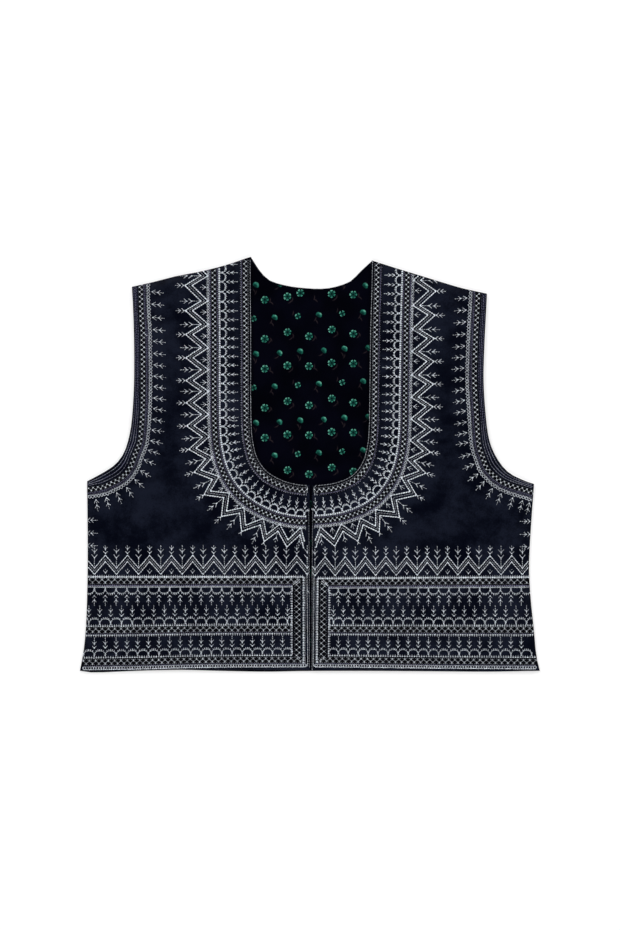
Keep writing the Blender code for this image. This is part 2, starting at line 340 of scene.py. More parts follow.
def turned(dx, dy, turn):
    """The same distances, seen from a motif that is turned clockwise by `turn` radians."""
    return dx * math.cos(turn) - dy * math.sin(turn), dy * math.cos(turn) + dx * math.sin(turn)


def oval(dx, dy, wide, tall):
    """Below 0 inside an oval, in about millimetres."""
    a, b = dx / wide, dy / tall
    return ((a * a + b * b).put("SQRT") - 1.0) * min(wide, tall)


def flower(finish, across, up, kind):
    """A mask of the petals, and how light they are."""
    dx, dy = from_motif(finish, across, up, kind.middle)
    out = (dx * dx + dy * dy).put("SQRT")
    angle = dy.put("ARCTAN2", dx)
    lobes = (angle * (kind.petals / 2) + kind.turn).put("COSINE").put("ABSOLUTE")
    cleft = 1.0 - step(finish, lobes, 0.05, 0.70)
    petal = soft_edge(finish, out - kind.size + cleft * 2.6)
    half = 0.5 * kind.size
    lit = 0.05 + step(finish, out, 0.3, half) * 0.45 + step(finish, out, half, kind.size) * 0.45
    return petal, lit * (1.0 - cleft * 0.72) * (1.04 + (dy - dx) * 0.04)


def bud(finish, across, up, kind):
    """A mask of a closed bud, and how light it is."""
    dx, dy = from_motif(finish, across, up, kind.middle)
    x, y = turned(dx, dy, kind.turn)
    wide, tall = kind.wide, kind.tall
    whole = soft_edge(finish, oval(x, y - 0.05 * tall, wide * 0.78, tall * 0.95))
    for way in (-1, 1):
        petal = oval(x - way * wide * 0.50, y + 0.08 * tall, wide * 0.46,
                     tall * (0.70 - 0.12 * way))
        whole = whole.put("MAXIMUM", soft_edge(finish, petal))
    heart = 1.0 - step(finish, oval(x, y + 0.5 * tall, wide * 0.6, tall * 0.6), -1.0, 0.6)
    return whole, 0.50 + step(finish, y, -0.5 * tall, tall) * 0.42 - heart * 0.28


def leaf(finish, across, up, middle, turn):
    """A thin bent dab."""
    x, y = turned(*from_motif(finish, across, up, middle), turn)
    return soft_edge(finish, oval(x + y * y * LEAF_BEND, y, LEAF_WIDE, LEAF_TALL))


# %% [markdown]
# The motifs are laid one over another. Where a motif's mask is 1 its green takes the place of
# the black, and its own light and dark make the petals. The ink is uneven on cotton, so a fine
# noise thins it, and the weave of the cotton is a bump of crossed waves. A flower and a bud
# near the back neck stand astray: inside one window each, the place that they read is moved.
# Below the opening the lining lies deep in the slit between the fronts, and there the print is
# dimmed to a trace: that is painted shade.

# %% The lining's cotton
BLACK_COTTON = ((0.0002, 0.0003, 0.0018), (0.0009, 0.0010, 0.0040))
LEAF_BROWN = (0.0300, 0.0220, 0.0250)
GREENS = ((0.05, (0.0010, 0.0070, 0.0070)), (0.45, (0.0050, 0.0520, 0.0390)),
          (0.80, (0.0200, 0.1650, 0.1150)), (1.0, (0.1300, 0.4000, 0.3000)))
# painted shade: where the shade of the slit between the fronts begins, and how much of the
# print shows in it
SLIT_SHADE_TOP, SLIT_SHADE_SHOWS = -34.0, 0.12      # its upper edge, and how much shows through it
Window = namedtuple("Window", "across up move")
FLOWER_WINDOW = Window((-16.5, 4.5), (174.5, 193.0), (9.4, -5.1))
BUD_WINDOW = Window((52.0, 70.0), (184.0, 207.0), (3.1, 7.0))


def moved(finish, across, up, height, window):
    """The place to read the print at, moved inside one window."""
    inside = between(finish, across, *window.across, 0.2) \
        * between(finish, height, *window.up, 0.2)
    return across + inside * window.move[0], up + inside * window.move[1]


def make_lining_print():
    """Black cotton, then the leaves, then every motif with its own ink."""
    cotton = Finish("lining_print", Specular_IOR_Level=0.015)
    place = place_mm(cotton)
    across, height = place.part(0), place.part(1)
    up = height - across * TILE_CLIMB
    grain = noise(cotton, place, 0.9, rough=0.6)
    clouds = noise(cotton, place, 45.0)
    blots = noise(cotton, place, 2.2, detail=1.0)
    colour = blend(cotton, step(cotton, clouds, 0.35, 0.65), *BLACK_COTTON)
    for middle, turn in LEAVES:
        mask = leaf(cotton, across, up, middle, turn)
        colour = blend(cotton, mask * (clouds * 0.9 + 0.1), colour, LEAF_BROWN)
    motifs = [flower(cotton, across, up, kind) for kind in FLOWERS]
    motifs += [bud(cotton, across, up, kind) for kind in BUDS]
    motifs += [flower(cotton, *moved(cotton, across, up, height, FLOWER_WINDOW), LOOSE_FLOWER),
               bud(cotton, *moved(cotton, across, up, height, BUD_WINDOW), LOOSE_BUD)]
    # painted shade: below the opening the print is dimmed, as the lining lies deep in the slit;
    # the ink's own wear is added next
    shown = SLIT_SHADE_SHOWS + step(cotton, height, SLIT_SHADE_TOP - 3.0, SLIT_SHADE_TOP) * (1 - SLIT_SHADE_SHOWS)
    wear_and_shade = shown * (0.70 + step(cotton, grain, 0.25, 0.55) * 0.30)
    for mask, lit in motifs:
        ink = cotton.node("ValToRGB", {"stops": GREENS}, {0: lit * (0.55 + blots * 0.9)})
        colour = blend(cotton, mask * wear_and_shade, colour, ink)
    waves = (across * 14.0).put("SINE") * 0.10 + (up * 14.0).put("SINE") * 0.10
    return cotton.shade(Base_Color=colour, Roughness=0.80 + grain * 0.15,
                        Normal=bumped(cotton, waves + grain * 0.5, 0.25))


lining_print = make_lining_print()
print("lining:", len(lining_print.node_tree.nodes), "nodes")

# %% [markdown]
# ## Band cloth
# The band round the neck is a dull dark tape with a faint purple cast. Its weave runs along
# it, but it is almost hidden by its own stitches, so a cross weave on the plain places is
# enough.

# %% Band cloth
TAPE = ((0.0003, 0.0004, 0.0012), (0.0016, 0.0017, 0.0040))     # dark, light


def make_band_cloth():
    """A dull ribbed tape."""
    tape = Finish("band_tape", Specular_IOR_Level=0.03)
    place = place_mm(tape)
    clouds = noise(tape, place, 14.0)
    grain = noise(tape, place, 0.8, rough=0.6)
    ribs = (place.part(0) * 9.0).put("SINE") + (place.part(1) * 9.0).put("SINE")
    depth = step(tape, clouds * 0.6 + grain * 0.4, 0.35, 0.65)
    return tape.shade(Base_Color=blend(tape, depth, *TAPE), Roughness=0.62 + grain * 0.25,
                      Normal=bumped(tape, ribs * 0.12 + grain * 0.5, 0.30))


band_tape = make_band_cloth()
print("band:", band_tape.name)

# %% [markdown]
# ## Thread
# Every stitch carries two attributes: `tone`, how light that stitch is, and `strand`, where a
# point is along and across it. The tone makes neighbours differ as real thread does where it is
# flattened or stands up, and it drifts slowly over the cloth, which is painted sheen. The
# strand gives the twist of the plies, as slanting grooves, and the colour is painted a little
# darker in them as shade.

# %% Thread
PLY_TURNS = 9.5                 # radians of twist for each millimetre along
PLY_SLANT = 1.1
THREAD_COLOURS = {              # dark, light, roughness
    "light": ((0.028, 0.032, 0.054), (0.83, 0.89, 0.95), 0.48),
    "grey": ((0.011, 0.011, 0.025), (0.125, 0.122, 0.215), 0.55),
}


def make_thread(name, dark, light, roughness):
    """Twisted thread that is `dark` where a stitch's tone is 0 and `light` where it is 1."""
    thread = Finish(name, Specular_IOR_Level=0.35, Sheen_Weight=0.10, Sheen_Roughness=0.5)
    tone = thread.node("Attribute", {"attribute_name": "tone"}, output=2)
    strand = thread.node("Attribute", {"attribute_name": "strand"}, output=1)
    plies = ((strand.part(0) + strand.part(1) * PLY_SLANT) * PLY_TURNS).put("SINE")
    fuzz = noise(thread, place_mm(thread), 0.35, rough=0.7)
    # painted shade: the colour is a little darker along the grooves between the plies
    lit = tone * (0.90 + plies * 0.07) + (fuzz - 0.5) * 0.12
    return thread.shade(Base_Color=blend(thread, lit, dark, light),
                        Roughness=roughness + fuzz * 0.2,
                        Normal=bumped(thread, plies * 0.25 + fuzz * 0.3, 0.12))


THREADS = {colour: make_thread("thread_" + colour, *look)
           for colour, look in THREAD_COLOURS.items()}
print("threads:", ", ".join(THREADS))

# %% [markdown]
# ## The pattern's own measure
# A cutter works from the centre line and the hem line, so the tables below are millimetres
# across from the centre line and up from the hem line. `to_frame` turns them into metres
# in the frame of the solids.

# %% Pattern to frame
MIDDLE = np.array([-1.25, 223.55])      # where the frame's origin lies in the pattern


def to_frame(points):
    """Millimetres of the pattern as metres of the frame."""
    return (np.atleast_2d(points) - MIDDLE) * MM


def to_pattern(verts):
    """Where vertices lie in the pattern, in millimetres."""
    return np.array([vert.co[:2] for vert in verts]) / MM + MIDDLE


NECK = {
    "left": ((-65, 448), (-65, 412), (-64.5, 369), (-64.5, 299), (-64, 267), (-62.5, 249.5),
             (-57.5, 230.5), (-46.5, 216), (-29.5, 206.5), (-14, 202.6), (-1.7, 201.6)),
    "right": ((66, 444), (65.2, 412), (64, 369), (63, 299), (62.5, 267), (61, 247),
              (56, 227.5), (45, 212.8), (28.5, 205), (13.5, 202.2), (1.1, 201.5)),
}
ARMHOLE = {
    "left": ((-193.5, 415.5), (-192, 390), (-191, 355), (-191, 315), (-192.6, 282),
             (-195.5, 258), (-202, 236.5), (-213, 222.5), (-230, 212), (-241.5, 206)),
    "right": ((190, 408), (189, 388), (187.3, 355), (186.3, 315), (188.5, 278.5), (192.5, 250),
              (201, 230), (213, 215.5), (229, 207), (240.5, 203)),
}
BRAID = {                       # the bright braid that follows each armhole
    "left": ((-175.5, 419.9), (-175.2, 401.5), (-174.3, 379.9), (-173.3, 363.7),
             (-172.9, 309.7), (-173.7, 277.3), (-176.3, 248.7), (-178.7, 240.4),
             (-182.8, 230.5), (-186.6, 219.4), (-192.8, 209.4), (-201.4, 201.6),
             (-211.4, 196.2), (-221.7, 191.7), (-232.4, 189.6), (-239.9, 188.4)),
    "right": ((171.9, 408), (170.9, 388), (169.2, 355), (168.2, 315), (170.2, 278.5),
              (172.4, 248.7), (174.4, 237.9), (177.8, 228), (182.3, 216.4), (189.8, 207.4),
              (197.6, 200.8), (206.3, 195.8), (215.8, 192.1), (227.3, 188.8), (236.4, 185.9)),
}
SIGN = {"left": -1, "right": 1}         # the way outwards from the centre line
print("landmarks:", {side: len(NECK[side] + ARMHOLE[side] + BRAID[side]) for side in SIDES})

# %% [markdown]
# ## Guides
# Embroidery is drawn in rows that keep their distance from an edge. A guide is such an edge
# as a smooth curve: `at(along, off)` gives the place so far along it and so far to its side.
# The curve runs on past both ends, and the way aside is evened out along it, so that rows
# stay apart in a tight bend. There the rows further out are longer, so `stops` counts its
# paces on the row itself and returns places along the guide.

# %% Guides along an edge
SPACING = 0.5                   # between the points of a guide's curve, millimetres
RUN_OUT = 60                    # points that it runs on at each end
SOFTEN = 30.0                   # length that the way aside is evened over, millimetres
CURVE_STEPS = 40                # from one landmark to the next
STOP_STEPS = 800                # that a row is measured in


def run_along(points):
    """How far each point is along its line."""
    return np.concatenate([[0], np.cumsum(np.linalg.norm(np.diff(points, axis=0), axis=1))])


def even_points(points, spacing):
    """A line's length, and points on it at even spacing."""
    run = run_along(points)
    stops = np.linspace(0, run[-1], max(2, int(round(run[-1] / spacing)) + 1))
    return run[-1], np.column_stack([np.interp(stops, run, points[:, i]) for i in (0, 1)])


def through_landmarks(landmarks):
    """A Catmull-Rom curve, which passes through every landmark."""
    marks = np.array(landmarks, float)
    marks = np.vstack([2 * marks[0] - marks[1], marks, 2 * marks[-1] - marks[-2]])
    t = np.linspace(0, 1, CURVE_STEPS, endpoint=False)[:, None]
    fine = [0.5 * (2 * p1 + (p2 - p0) * t + (2 * p0 - 5 * p1 + 4 * p2 - p3) * t ** 2
                   + (3 * p1 - p0 - 3 * p2 + p3) * t ** 3)
            for p0, p1, p2, p3 in zip(marks, marks[1:], marks[2:], marks[3:])]
    return np.vstack([*fine, marks[-2]])


class Guide:
    """A smooth curve through landmarks, with rows at distances `off` to one side of it."""

    def __init__(self, landmarks, side, soften=SOFTEN):
        length, fine = even_points(through_landmarks(landmarks), SPACING)
        start, end = fine[0] - fine[1], fine[-1] - fine[-2]
        run_out = np.arange(1, RUN_OUT + 1)[:, None]
        self.length = float(length)
        self.curve = np.vstack([(fine[0] + start * run_out)[::-1], fine,
                                fine[-1] + end * run_out])
        self.along = (np.arange(len(self.curve)) - RUN_OUT) * length / (len(fine) - 1)
        window = np.ones(int(soften / SPACING) | 1)
        pad = len(window) // 2
        run = np.pad(np.gradient(self.curve, axis=0), ((pad, pad), (0, 0)), mode="edge")
        run = np.column_stack([np.convolve(run[:, i], window, "valid") for i in (0, 1)])
        run /= np.linalg.norm(run, axis=1)[:, None]
        self.aside = side * np.column_stack([-run[:, 1], run[:, 0]])

    def at(self, along, off):
        """Places so far along the guide and so far to its side."""
        along, off = np.broadcast_arrays(np.asarray(along, float), np.asarray(off, float))
        return np.column_stack([np.interp(along, self.along, self.curve[:, i])
                                + off * np.interp(along, self.along, self.aside[:, i])
                                for i in (0, 1)])

    def stops(self, first, last, off, pace):
        """Places along the guide that are about `pace` apart on the row at `off`."""
        fine = np.linspace(first, last, STOP_STEPS)
        run = run_along(self.at(fine, off))
        count = max(1, int(round(run[-1] / pace)))
        return np.interp(np.linspace(0, run[-1], count + 1), run, fine)


neck_guides = {side: Guide(NECK[side], SIGN[side]) for side in SIDES}
braid_guides = {side: Guide(BRAID[side], -SIGN[side]) for side in SIDES}
print("neck edges, mm:", {side: round(guide.length, 1) for side, guide in neck_guides.items()})

# %% [markdown]
# The rows of the hem are almost level, but the whole border narrows a little towards the
# front edge. Its guide runs across the front, and `off` is the drop below its top line; the
# drop is stretched so that the last row always meets the hem.

# %% Guide of the hem rows
HEM_TOP = {"left": ((-250, 102.9), (0, 102.9)),
           "right": ((0, 101.3), (31, 101.4), (122, 102.0), (236, 102.7), (250, 102.8))}
HEM_FOOT = {"left": ((-250, 2.5), (-238.7, 2.6), (-184.7, 3.35), (-133.9, 4.8), (-83.2, 5.5),
                     (-22.7, 5.6), (0, 5.6)),
            "right": ((0, 5.5), (20.5, 5.6), (139.3, 4.2), (231.1, 3.5), (250, 3.4))}
HEM_DROP = 100.2                # from the top line to the lowest line at the side seam


class HemGuide:
    """Rows at drops `off` below the hem's top line, `along` across from the centre line."""

    def __init__(self, side):
        self.top, self.foot = np.array(HEM_TOP[side], float), np.array(HEM_FOOT[side], float)

    def at(self, along, off):
        """Places so far across and so far down, with the drop stretched to meet the hem."""
        along, off = np.broadcast_arrays(np.asarray(along, float), np.asarray(off, float))
        top = np.interp(along, self.top[:, 0], self.top[:, 1])
        foot = np.interp(along, self.foot[:, 0], self.foot[:, 1])
        scale = np.where(off > 0, (top - foot) / HEM_DROP, 1.0)
        return np.column_stack([along, top - off * scale])

    def stops(self, first, last, off, pace):
        """Places across that are about `pace` apart, the same on every row."""
        return np.linspace(first, last, max(1, int(round(abs(last - first) / pace))) + 1)


hem_guides = {side: HemGuide(side) for side in SIDES}
print("hem border:", HEM_DROP, "mm from its top line to its lowest")

# %% [markdown]
# ## Cloth shells
# Each solid is coarse, so its cloth is shown by a finer shell. The shell starts from the upper
# faces of the solid, brought out to the solid's full outline. Cutting every edge into equal
# parts gives a fine mesh, and smoothing the heights alone takes away the facets. Soft folds
# then go in one by one, each a long hill or hollow in a table, because pressed satin has few of
# them and no two alike.

# %% Upper faces of a solid
RIM_ROUND = 0.35                # the solids' rounded rims, millimetres
FACES_UP = 0.9                  # least z of the normal of an upper face


def widen_to_rim(bm):
    """Move the outline out to where the solid's rounded rim ends."""
    rim = {}
    for edge in bm.edges:
        if edge.is_boundary:
            face, (a, b) = edge.link_faces[0], edge.verts
            out = (b.co - a.co).cross(Vector((0, 0, 1)))
            out.z = 0
            out.normalize()
            if out.dot(face.calc_center_median() - (a.co + b.co) / 2) > 0:
                out.negate()
            for vert in (a, b):
                rim.setdefault(vert, []).append(out)
    for vert, ways in rim.items():
        way = sum(ways, Vector()).normalized()
        vert.co += way * (RIM_ROUND * MM / max(0.5, way.dot(ways[0])))


def upper_faces(node, cuts, smoothing):
    """The upper face of a solid, cut fine and with its facets smoothed away."""
    bm = bmesh.new()
    bm.from_mesh(frame["nodes"][node].data)
    bmesh.ops.remove_doubles(bm, verts=bm.verts, dist=1e-6)
    other = [face for face in bm.faces if face.normal.z < FACES_UP]
    bmesh.ops.delete(bm, geom=other, context="FACES")
    widen_to_rim(bm)
    bmesh.ops.subdivide_edges(bm, edges=bm.edges, cuts=cuts, use_grid_fill=True)
    inner = [vert for vert in bm.verts if not vert.is_boundary]
    for _ in range(smoothing):
        bmesh.ops.smooth_vert(bm, verts=inner, factor=0.5, use_axis_x=False, use_axis_y=False,
                              use_axis_z=True)
    return bm


# %% [markdown]
# A fold is a smooth hill or hollow, long one way and narrow the other. Its table gives the
# middle, the turn from level, half the length and width, and the rise in millimetres.

# %% Folds
Fold = namedtuple("Fold", "across up turn half_length half_width rise")

FRONT_FOLDS = {
    "left": (Fold(-152, 392, 24, 46, 7, 0.30), Fold(-150, 360, 68, 40, 6, -0.26),
             Fold(-158, 222, -52, 34, 7, -0.32), Fold(-139, 178, -56, 26, 6, -0.30),
             Fold(-160, 165, 6, 60, 12, 0.25), Fold(-196, 172, 30, 34, 8, -0.22),
             Fold(-110, 140, -20, 40, 9, 0.20), Fold(-148, 300, 92, 44, 6, 0.20),
             Fold(-214, 150, -24, 30, 7, 0.22), Fold(-60, 128, 14, 38, 8, -0.18)),
    "right": (Fold(150, 384, -30, 42, 7, 0.28), Fold(146, 352, 102, 38, 6, -0.24),
              Fold(140, 236, 58, 36, 8, -0.34), Fold(156, 214, 48, 26, 6, -0.24),
              Fold(160, 164, -4, 58, 12, 0.26), Fold(196, 168, -34, 32, 8, -0.22),
              Fold(108, 136, 18, 44, 9, 0.18), Fold(146, 296, 86, 46, 6, 0.18),
              Fold(212, 150, 22, 30, 7, 0.20), Fold(58, 128, -12, 36, 8, -0.18)),
}
LINING_FOLDS = (Fold(-30, 392, 36, 40, 8, 0.35), Fold(22, 384, -28, 44, 9, -0.30),
                Fold(36, 300, 78, 50, 8, -0.28), Fold(-28, 318, 100, 46, 9, 0.30),
                Fold(6, 244, 14, 34, 8, 0.28), Fold(2, 350, 88, 36, 7, -0.22))
BACK_FOLDS = (Fold(-90, 360, 70, 60, 9, -0.16), Fold(84, 348, 104, 64, 10, -0.13),
              Fold(-150, 190, 22, 70, 10, -0.17), Fold(144, 180, -16, 74, 11, -0.15),
              Fold(10, 240, 86, 90, 12, -0.14), Fold(-60, 90, -8, 80, 11, -0.16),
              Fold(96, 70, 12, 78, 12, -0.14))


def fold_heights(points, folds):
    """How far the folds lift each point, in millimetres."""
    total = np.zeros(len(points))
    for fold in folds:
        angle = math.radians(fold.turn)
        offset = points - (fold.across, fold.up)
        along = offset @ (math.cos(angle), math.sin(angle)) / fold.half_length
        aside = offset @ (-math.sin(angle), math.cos(angle)) / fold.half_width
        total += fold.rise * np.exp(-along ** 4 - aside ** 2)
    return total


print("folds:", len(LINING_FOLDS + BACK_FOLDS), "below and",
      sum(map(len, FRONT_FOLDS.values())), "in the fronts")

# %% [markdown]
# A front's mesh gets the attribute `rows` that the satin reads. It comes from the guides that
# the rows are sewn by: a grid of places is laid out from a guide, and each point of the mesh
# takes over the distance of the place that is nearest to it.

# %% Rows on the mesh
ROW_SCALE = {"left": 1.0, "right": 0.962}       # the right front is sewn a little closer
NECK_REACH, BRAID_REACH = (0.0, 80.0), (-20.0, 20.0)    # how far out the two guides are asked
GUIDE_GRID = 2.0                                # millimetres


def off_guide(guide, points, offs):
    """How far each point is to the side of a guide, measured as its rows are."""
    past = RUN_OUT * SPACING
    grid = np.array([(along, off)
                     for along in np.arange(-past, guide.length + past, GUIDE_GRID)
                     for off in np.arange(*offs, GUIDE_GRID)])
    places, further = (guide.at(*(grid + (0, ahead)).T) for ahead in (0, 1))
    tree = kdtree.KDTree(len(places))
    for i, place in enumerate(places):
        tree.insert((*place, 0), i)
    tree.balance()
    near = np.array([tree.find((*point, 0))[1] for point in points])
    beyond = ((points - places[near]) * (further - places)[near]).sum(axis=1)
    return grid[near, 1] + beyond


def write_attribute(mesh, name, kind, values):
    """One value, or one vector, for each point of a mesh."""
    field = {"FLOAT": "value", "FLOAT_VECTOR": "vector"}[kind]
    data = mesh.attributes.new(name, kind, "POINT").data
    data.foreach_set(field, values.astype(np.float32).ravel())


def write_rows(mesh, side):
    """The attribute `rows` that the satin reads."""
    points = to_pattern(mesh.vertices)
    hem = hem_guides[side]
    top, foot = (hem.at(points[:, 0], drop)[:, 1] for drop in (0, HEM_DROP))
    rows = np.column_stack([
        off_guide(neck_guides[side], points, NECK_REACH) / ROW_SCALE[side],
        off_guide(braid_guides[side], points, BRAID_REACH),
        (top - points[:, 1]) / (top - foot) * HEM_DROP])
    write_attribute(mesh, "rows", "FLOAT_VECTOR", rows)


# %% [markdown]
# Each shell is made in the same steps. The folds fade out towards the outline. The wall is
# given by Solidify, downwards from the upper face, and the rim is rounded by Bevel. Both stay
# as modifiers. The face itself is also kept as a search tree, because the stitches ask it
# how high the cloth is under them.

# %% Making a shell
FOLD_FADE = 9.0                 # folds rise over this distance from the outline, millimetres
RIM_WIDTH, RIM_SEGMENTS, RIM_ANGLE = 0.3, 2, 60
AT_ONCE = 800                   # points whose distances are worked out together


def from_outline(bm, points):
    """How far each point is from the outline, in millimetres."""
    rims = to_pattern([vert for vert in bm.verts if vert.is_boundary])
    parts = np.array_split(points, max(1, len(points) // AT_ONCE))
    return np.concatenate([np.sqrt(((part[:, None] - rims[None]) ** 2).sum(2).min(1))
                           for part in parts])


def give_wall(cloth, wall):
    """A thickness of `wall` millimetres, downwards, with a rounded rim."""
    shell = cloth.modifiers.new("wall", "SOLIDIFY")
    shell.thickness, shell.offset = wall * MM, -1
    rim = cloth.modifiers.new("rim", "BEVEL")
    rim.width, rim.segments = RIM_WIDTH * MM, RIM_SEGMENTS
    rim.limit_method, rim.angle_limit = "ANGLE", math.radians(RIM_ANGLE)
    rim.harden_normals = True


def make_cloth(name, node, material, cuts, smoothing, wall, folds):
    """The cloth, and a search tree of its upper face."""
    bm = upper_faces(node, cuts, smoothing)
    points = to_pattern(bm.verts)
    rise = fold_heights(points, folds) * np.clip(from_outline(bm, points) / FOLD_FADE, 0, 1)
    for vert, height in zip(bm.verts, rise):
        vert.co.z += height * MM
    tree = bvhtree.BVHTree.FromBMesh(bm)
    mesh = bpy.data.meshes.new(name)
    bm.to_mesh(mesh)
    area = sum(face.calc_area() for face in bm.faces)
    bm.free()
    mesh.materials.append(material)
    mesh.shade_smooth()
    cloth = add_object(name, mesh)
    give_wall(cloth, wall)
    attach(cloth, "root")
    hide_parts(node)
    print(f"{name}: {len(mesh.polygons)} faces, {area * 1e4:.0f} cm2")
    return cloth, tree


# %% [markdown]
# The lining and the fronts have the finest mesh, because their folds show most.

# %% The six cloths
back_cloth, _ = make_cloth("back_cloth", "back", back_satin, cuts=3, smoothing=4,
                           wall=1.0, folds=BACK_FOLDS)
lining_cloth, _ = make_cloth("lining_cloth", "back_lining", lining_print, cuts=4,
                             smoothing=12, wall=0.7, folds=LINING_FOLDS)
front_cloth, band_cloth, cloth_trees = {}, {}, {}
for side in SIDES:
    front_cloth[side], front_tree = make_cloth(
        f"front_{side}_cloth", f"front_{side}", front_satin, cuts=4, smoothing=10,
        wall=0.9, folds=FRONT_FOLDS[side])
    write_rows(front_cloth[side].data, side)
    band_cloth[side], band_tree = make_cloth(
        f"band_{side}_cloth", f"neck_band_{side}", band_tape, cuts=2, smoothing=2,
        wall=0.8, folds=())
    cloth_trees[side] = (front_tree, band_tree)

# %% [markdown]
# ## One stitch
# A stitch is a short rounded ridge with tapered ends. It is made once, from a three-sided
# cylinder whose end caps are poked and drawn out to points, and then repeated thousands of
# times. Twelve triangles are enough, because a stitch is a millimetre wide.

# %% The stitch
BODY = 0.60                     # share of a stitch that is not its tips


def make_stitch():
    """Points with x from 0 to 1 along, y across and z up, and the faces between them."""
    bm = bmesh.new()
    bmesh.ops.create_cone(bm, segments=3, radius1=0.5, radius2=0.5, depth=BODY, cap_ends=True)
    caps = [face for face in bm.faces if abs(face.normal.z) > FACES_UP]
    for tip in bmesh.ops.poke(bm, faces=caps)["verts"]:
        tip.co.z = math.copysign(0.5, tip.co.z)
    bmesh.ops.recalc_face_normals(bm, faces=bm.faces)
    bmesh.ops.triangulate(bm, faces=bm.faces)
    bm.verts.ensure_lookup_table()
    x, y, z = np.array([vert.co for vert in bm.verts]).T
    places = np.column_stack([z + 0.5, -x / (x.max() - x.min()),
                              (y - y.min()) / (y.max() - y.min())])
    faces = np.array([[vert.index for vert in face.verts] for face in bm.faces])
    bm.free()
    return places, faces


STITCH, STITCH_FACES = make_stitch()
print("stitch:", len(STITCH), "points,", len(STITCH_FACES), "triangles")

# %% [markdown]
# ## The needle
# A needle sews one thread on one part of a front. It keeps only the start, end, width and
# height of each stitch. `line` sews single stitches with a little cloth showing between them,
# and tips each one as stem stitch does; `chain` sews pairs that open like links. When a part
# is finished, all its stitches become one mesh from arrays, each end laid on the cloth.

# %% Needle
FILL = 0.68                     # share of a stitch's stride that it covers
TIP = 0.12                      # how far stem stitch tips, as a share of its width


class Needle:
    """Gathers the stitches of one thread, then lays them on the cloth."""

    def __init__(self, side, part, thread):
        self.side, self.thread = side, thread
        self.name = f"{part}_{side}_{thread}"
        self.rows = []
        self.within = None

    def sew(self, starts, ends, width, height=0.5, tone=1.0):
        """Stitches from `starts` to `ends`, in the pattern's millimetres."""
        starts, ends = np.atleast_2d(starts), np.atleast_2d(ends)
        looks = np.tile([float(width), float(height), float(tone)], (len(starts), 1))
        stitches = np.column_stack([starts, ends, looks])
        if self.within is not None:
            stitches = stitches[self.within((starts + ends) / 2)]
        self.rows.append(stitches)

    @staticmethod
    def strides(points, pitch):
        """Stops along a line, the stride from each to the next, and the way across it."""
        _, stops = even_points(np.asarray(points), pitch)
        run = np.diff(stops, axis=0)
        aside = np.column_stack([-run[:, 1], run[:, 0]])
        return stops, run, aside / (np.linalg.norm(run, axis=1)[:, None] + 1e-9)

    def line(self, points, width, pitch=2.2, tone=1.0, fill=FILL):
        """Single stitches along a line of points; `fill` is the share that each one covers."""
        stops, run, aside = self.strides(points, pitch)
        gap = (1 - fill) / 2
        self.sew(stops[:-1] + gap * run - aside * TIP * width,
                 stops[1:] - gap * run + aside * TIP * width, width, tone=tone)

    def chain(self, points, width, pitch, tone):
        """Chain stitch: each link is two strands that open towards the next."""
        stops, run, aside = self.strides(points, pitch)
        for way in (-1, 1):
            self.sew(stops[:-1] + 0.02 * run + aside * way * 0.08 * width,
                     stops[1:] - 0.12 * run + aside * way * 0.28 * width,
                     width=0.50 * width, height=0.60, tone=tone)


def needles_for(side, part):
    """One needle for each thread."""
    return [Needle(side, part, thread) for thread in THREADS]


# %% [markdown]
# Laying the stitches is where a hand shows. Every stitch moves a little from its place, its
# width and its lift vary, and its tone drifts slowly over the cloth, a painted sheen like the
# uneven light on real thread. A stitch with an end off the cloth is left out.

# %% Places of the stitches
UNEVEN = 0.09                   # how far a stitch may miss its place, millimetres
RAY_TOP, RAY_LENGTH = 0.1, 0.2  # metres
chance = np.random.default_rng(20)


def heights_under(points, trees):
    """How high the uppermost cloth is under each point; nan where there is none."""
    heights = np.full(len(points), np.nan)
    for i, (x, y) in enumerate(to_frame(points)):
        for tree in trees:
            hit = tree.ray_cast(Vector((x, y, RAY_TOP)), Vector((0, 0, -1)), RAY_LENGTH)[0]
            if hit is not None:
                heights[i] = np.nanmax([heights[i], hit.z])
    return heights


def on_the_cloth(needle):
    """The stitches that have cloth under both ends, and where their ends are."""
    rows = np.vstack(needle.rows)
    rows[:, :4] += chance.normal(0, UNEVEN, (len(rows), 4))
    starts, ends = (np.column_stack([to_frame(places),
                                     heights_under(places, cloth_trees[needle.side])])
                    for places in (rows[:, 0:2], rows[:, 2:4]))
    lies = ~np.isnan(starts + ends).any(axis=1)
    return rows[lies], starts[lies], ends[lies]


# %% [markdown]
# The one stitch is then stretched along each of those places, all at once: `STITCH` says how
# far along, across and up its points are, and NumPy multiplies them out for every stitch.

# %% Stitches become a mesh
SUNK = 0.10                     # how deep a stitch's edges sink into the cloth, millimetres
BRIGHTEST = 1.25                # tones above it are cut off
TINY = 1e-12


def varied(values, share):
    """Each value made larger or smaller by up to a share of it."""
    return values * chance.uniform(1 - share, 1 + share, len(values))


def drifting_tone(rows):
    """Each stitch's tone, with a slow drift over the cloth and a jump from one to the next."""
    # painted sheen: the tone rises and falls slowly over the cloth
    drift = 0.5 + 0.5 * np.sin(rows[:, 0] * 0.11 + 2 * np.sin(rows[:, 1] * 0.07))
    return np.clip(varied(rows[:, 6] * (0.86 + 0.20 * drift), 0.40), 0, BRIGHTEST)


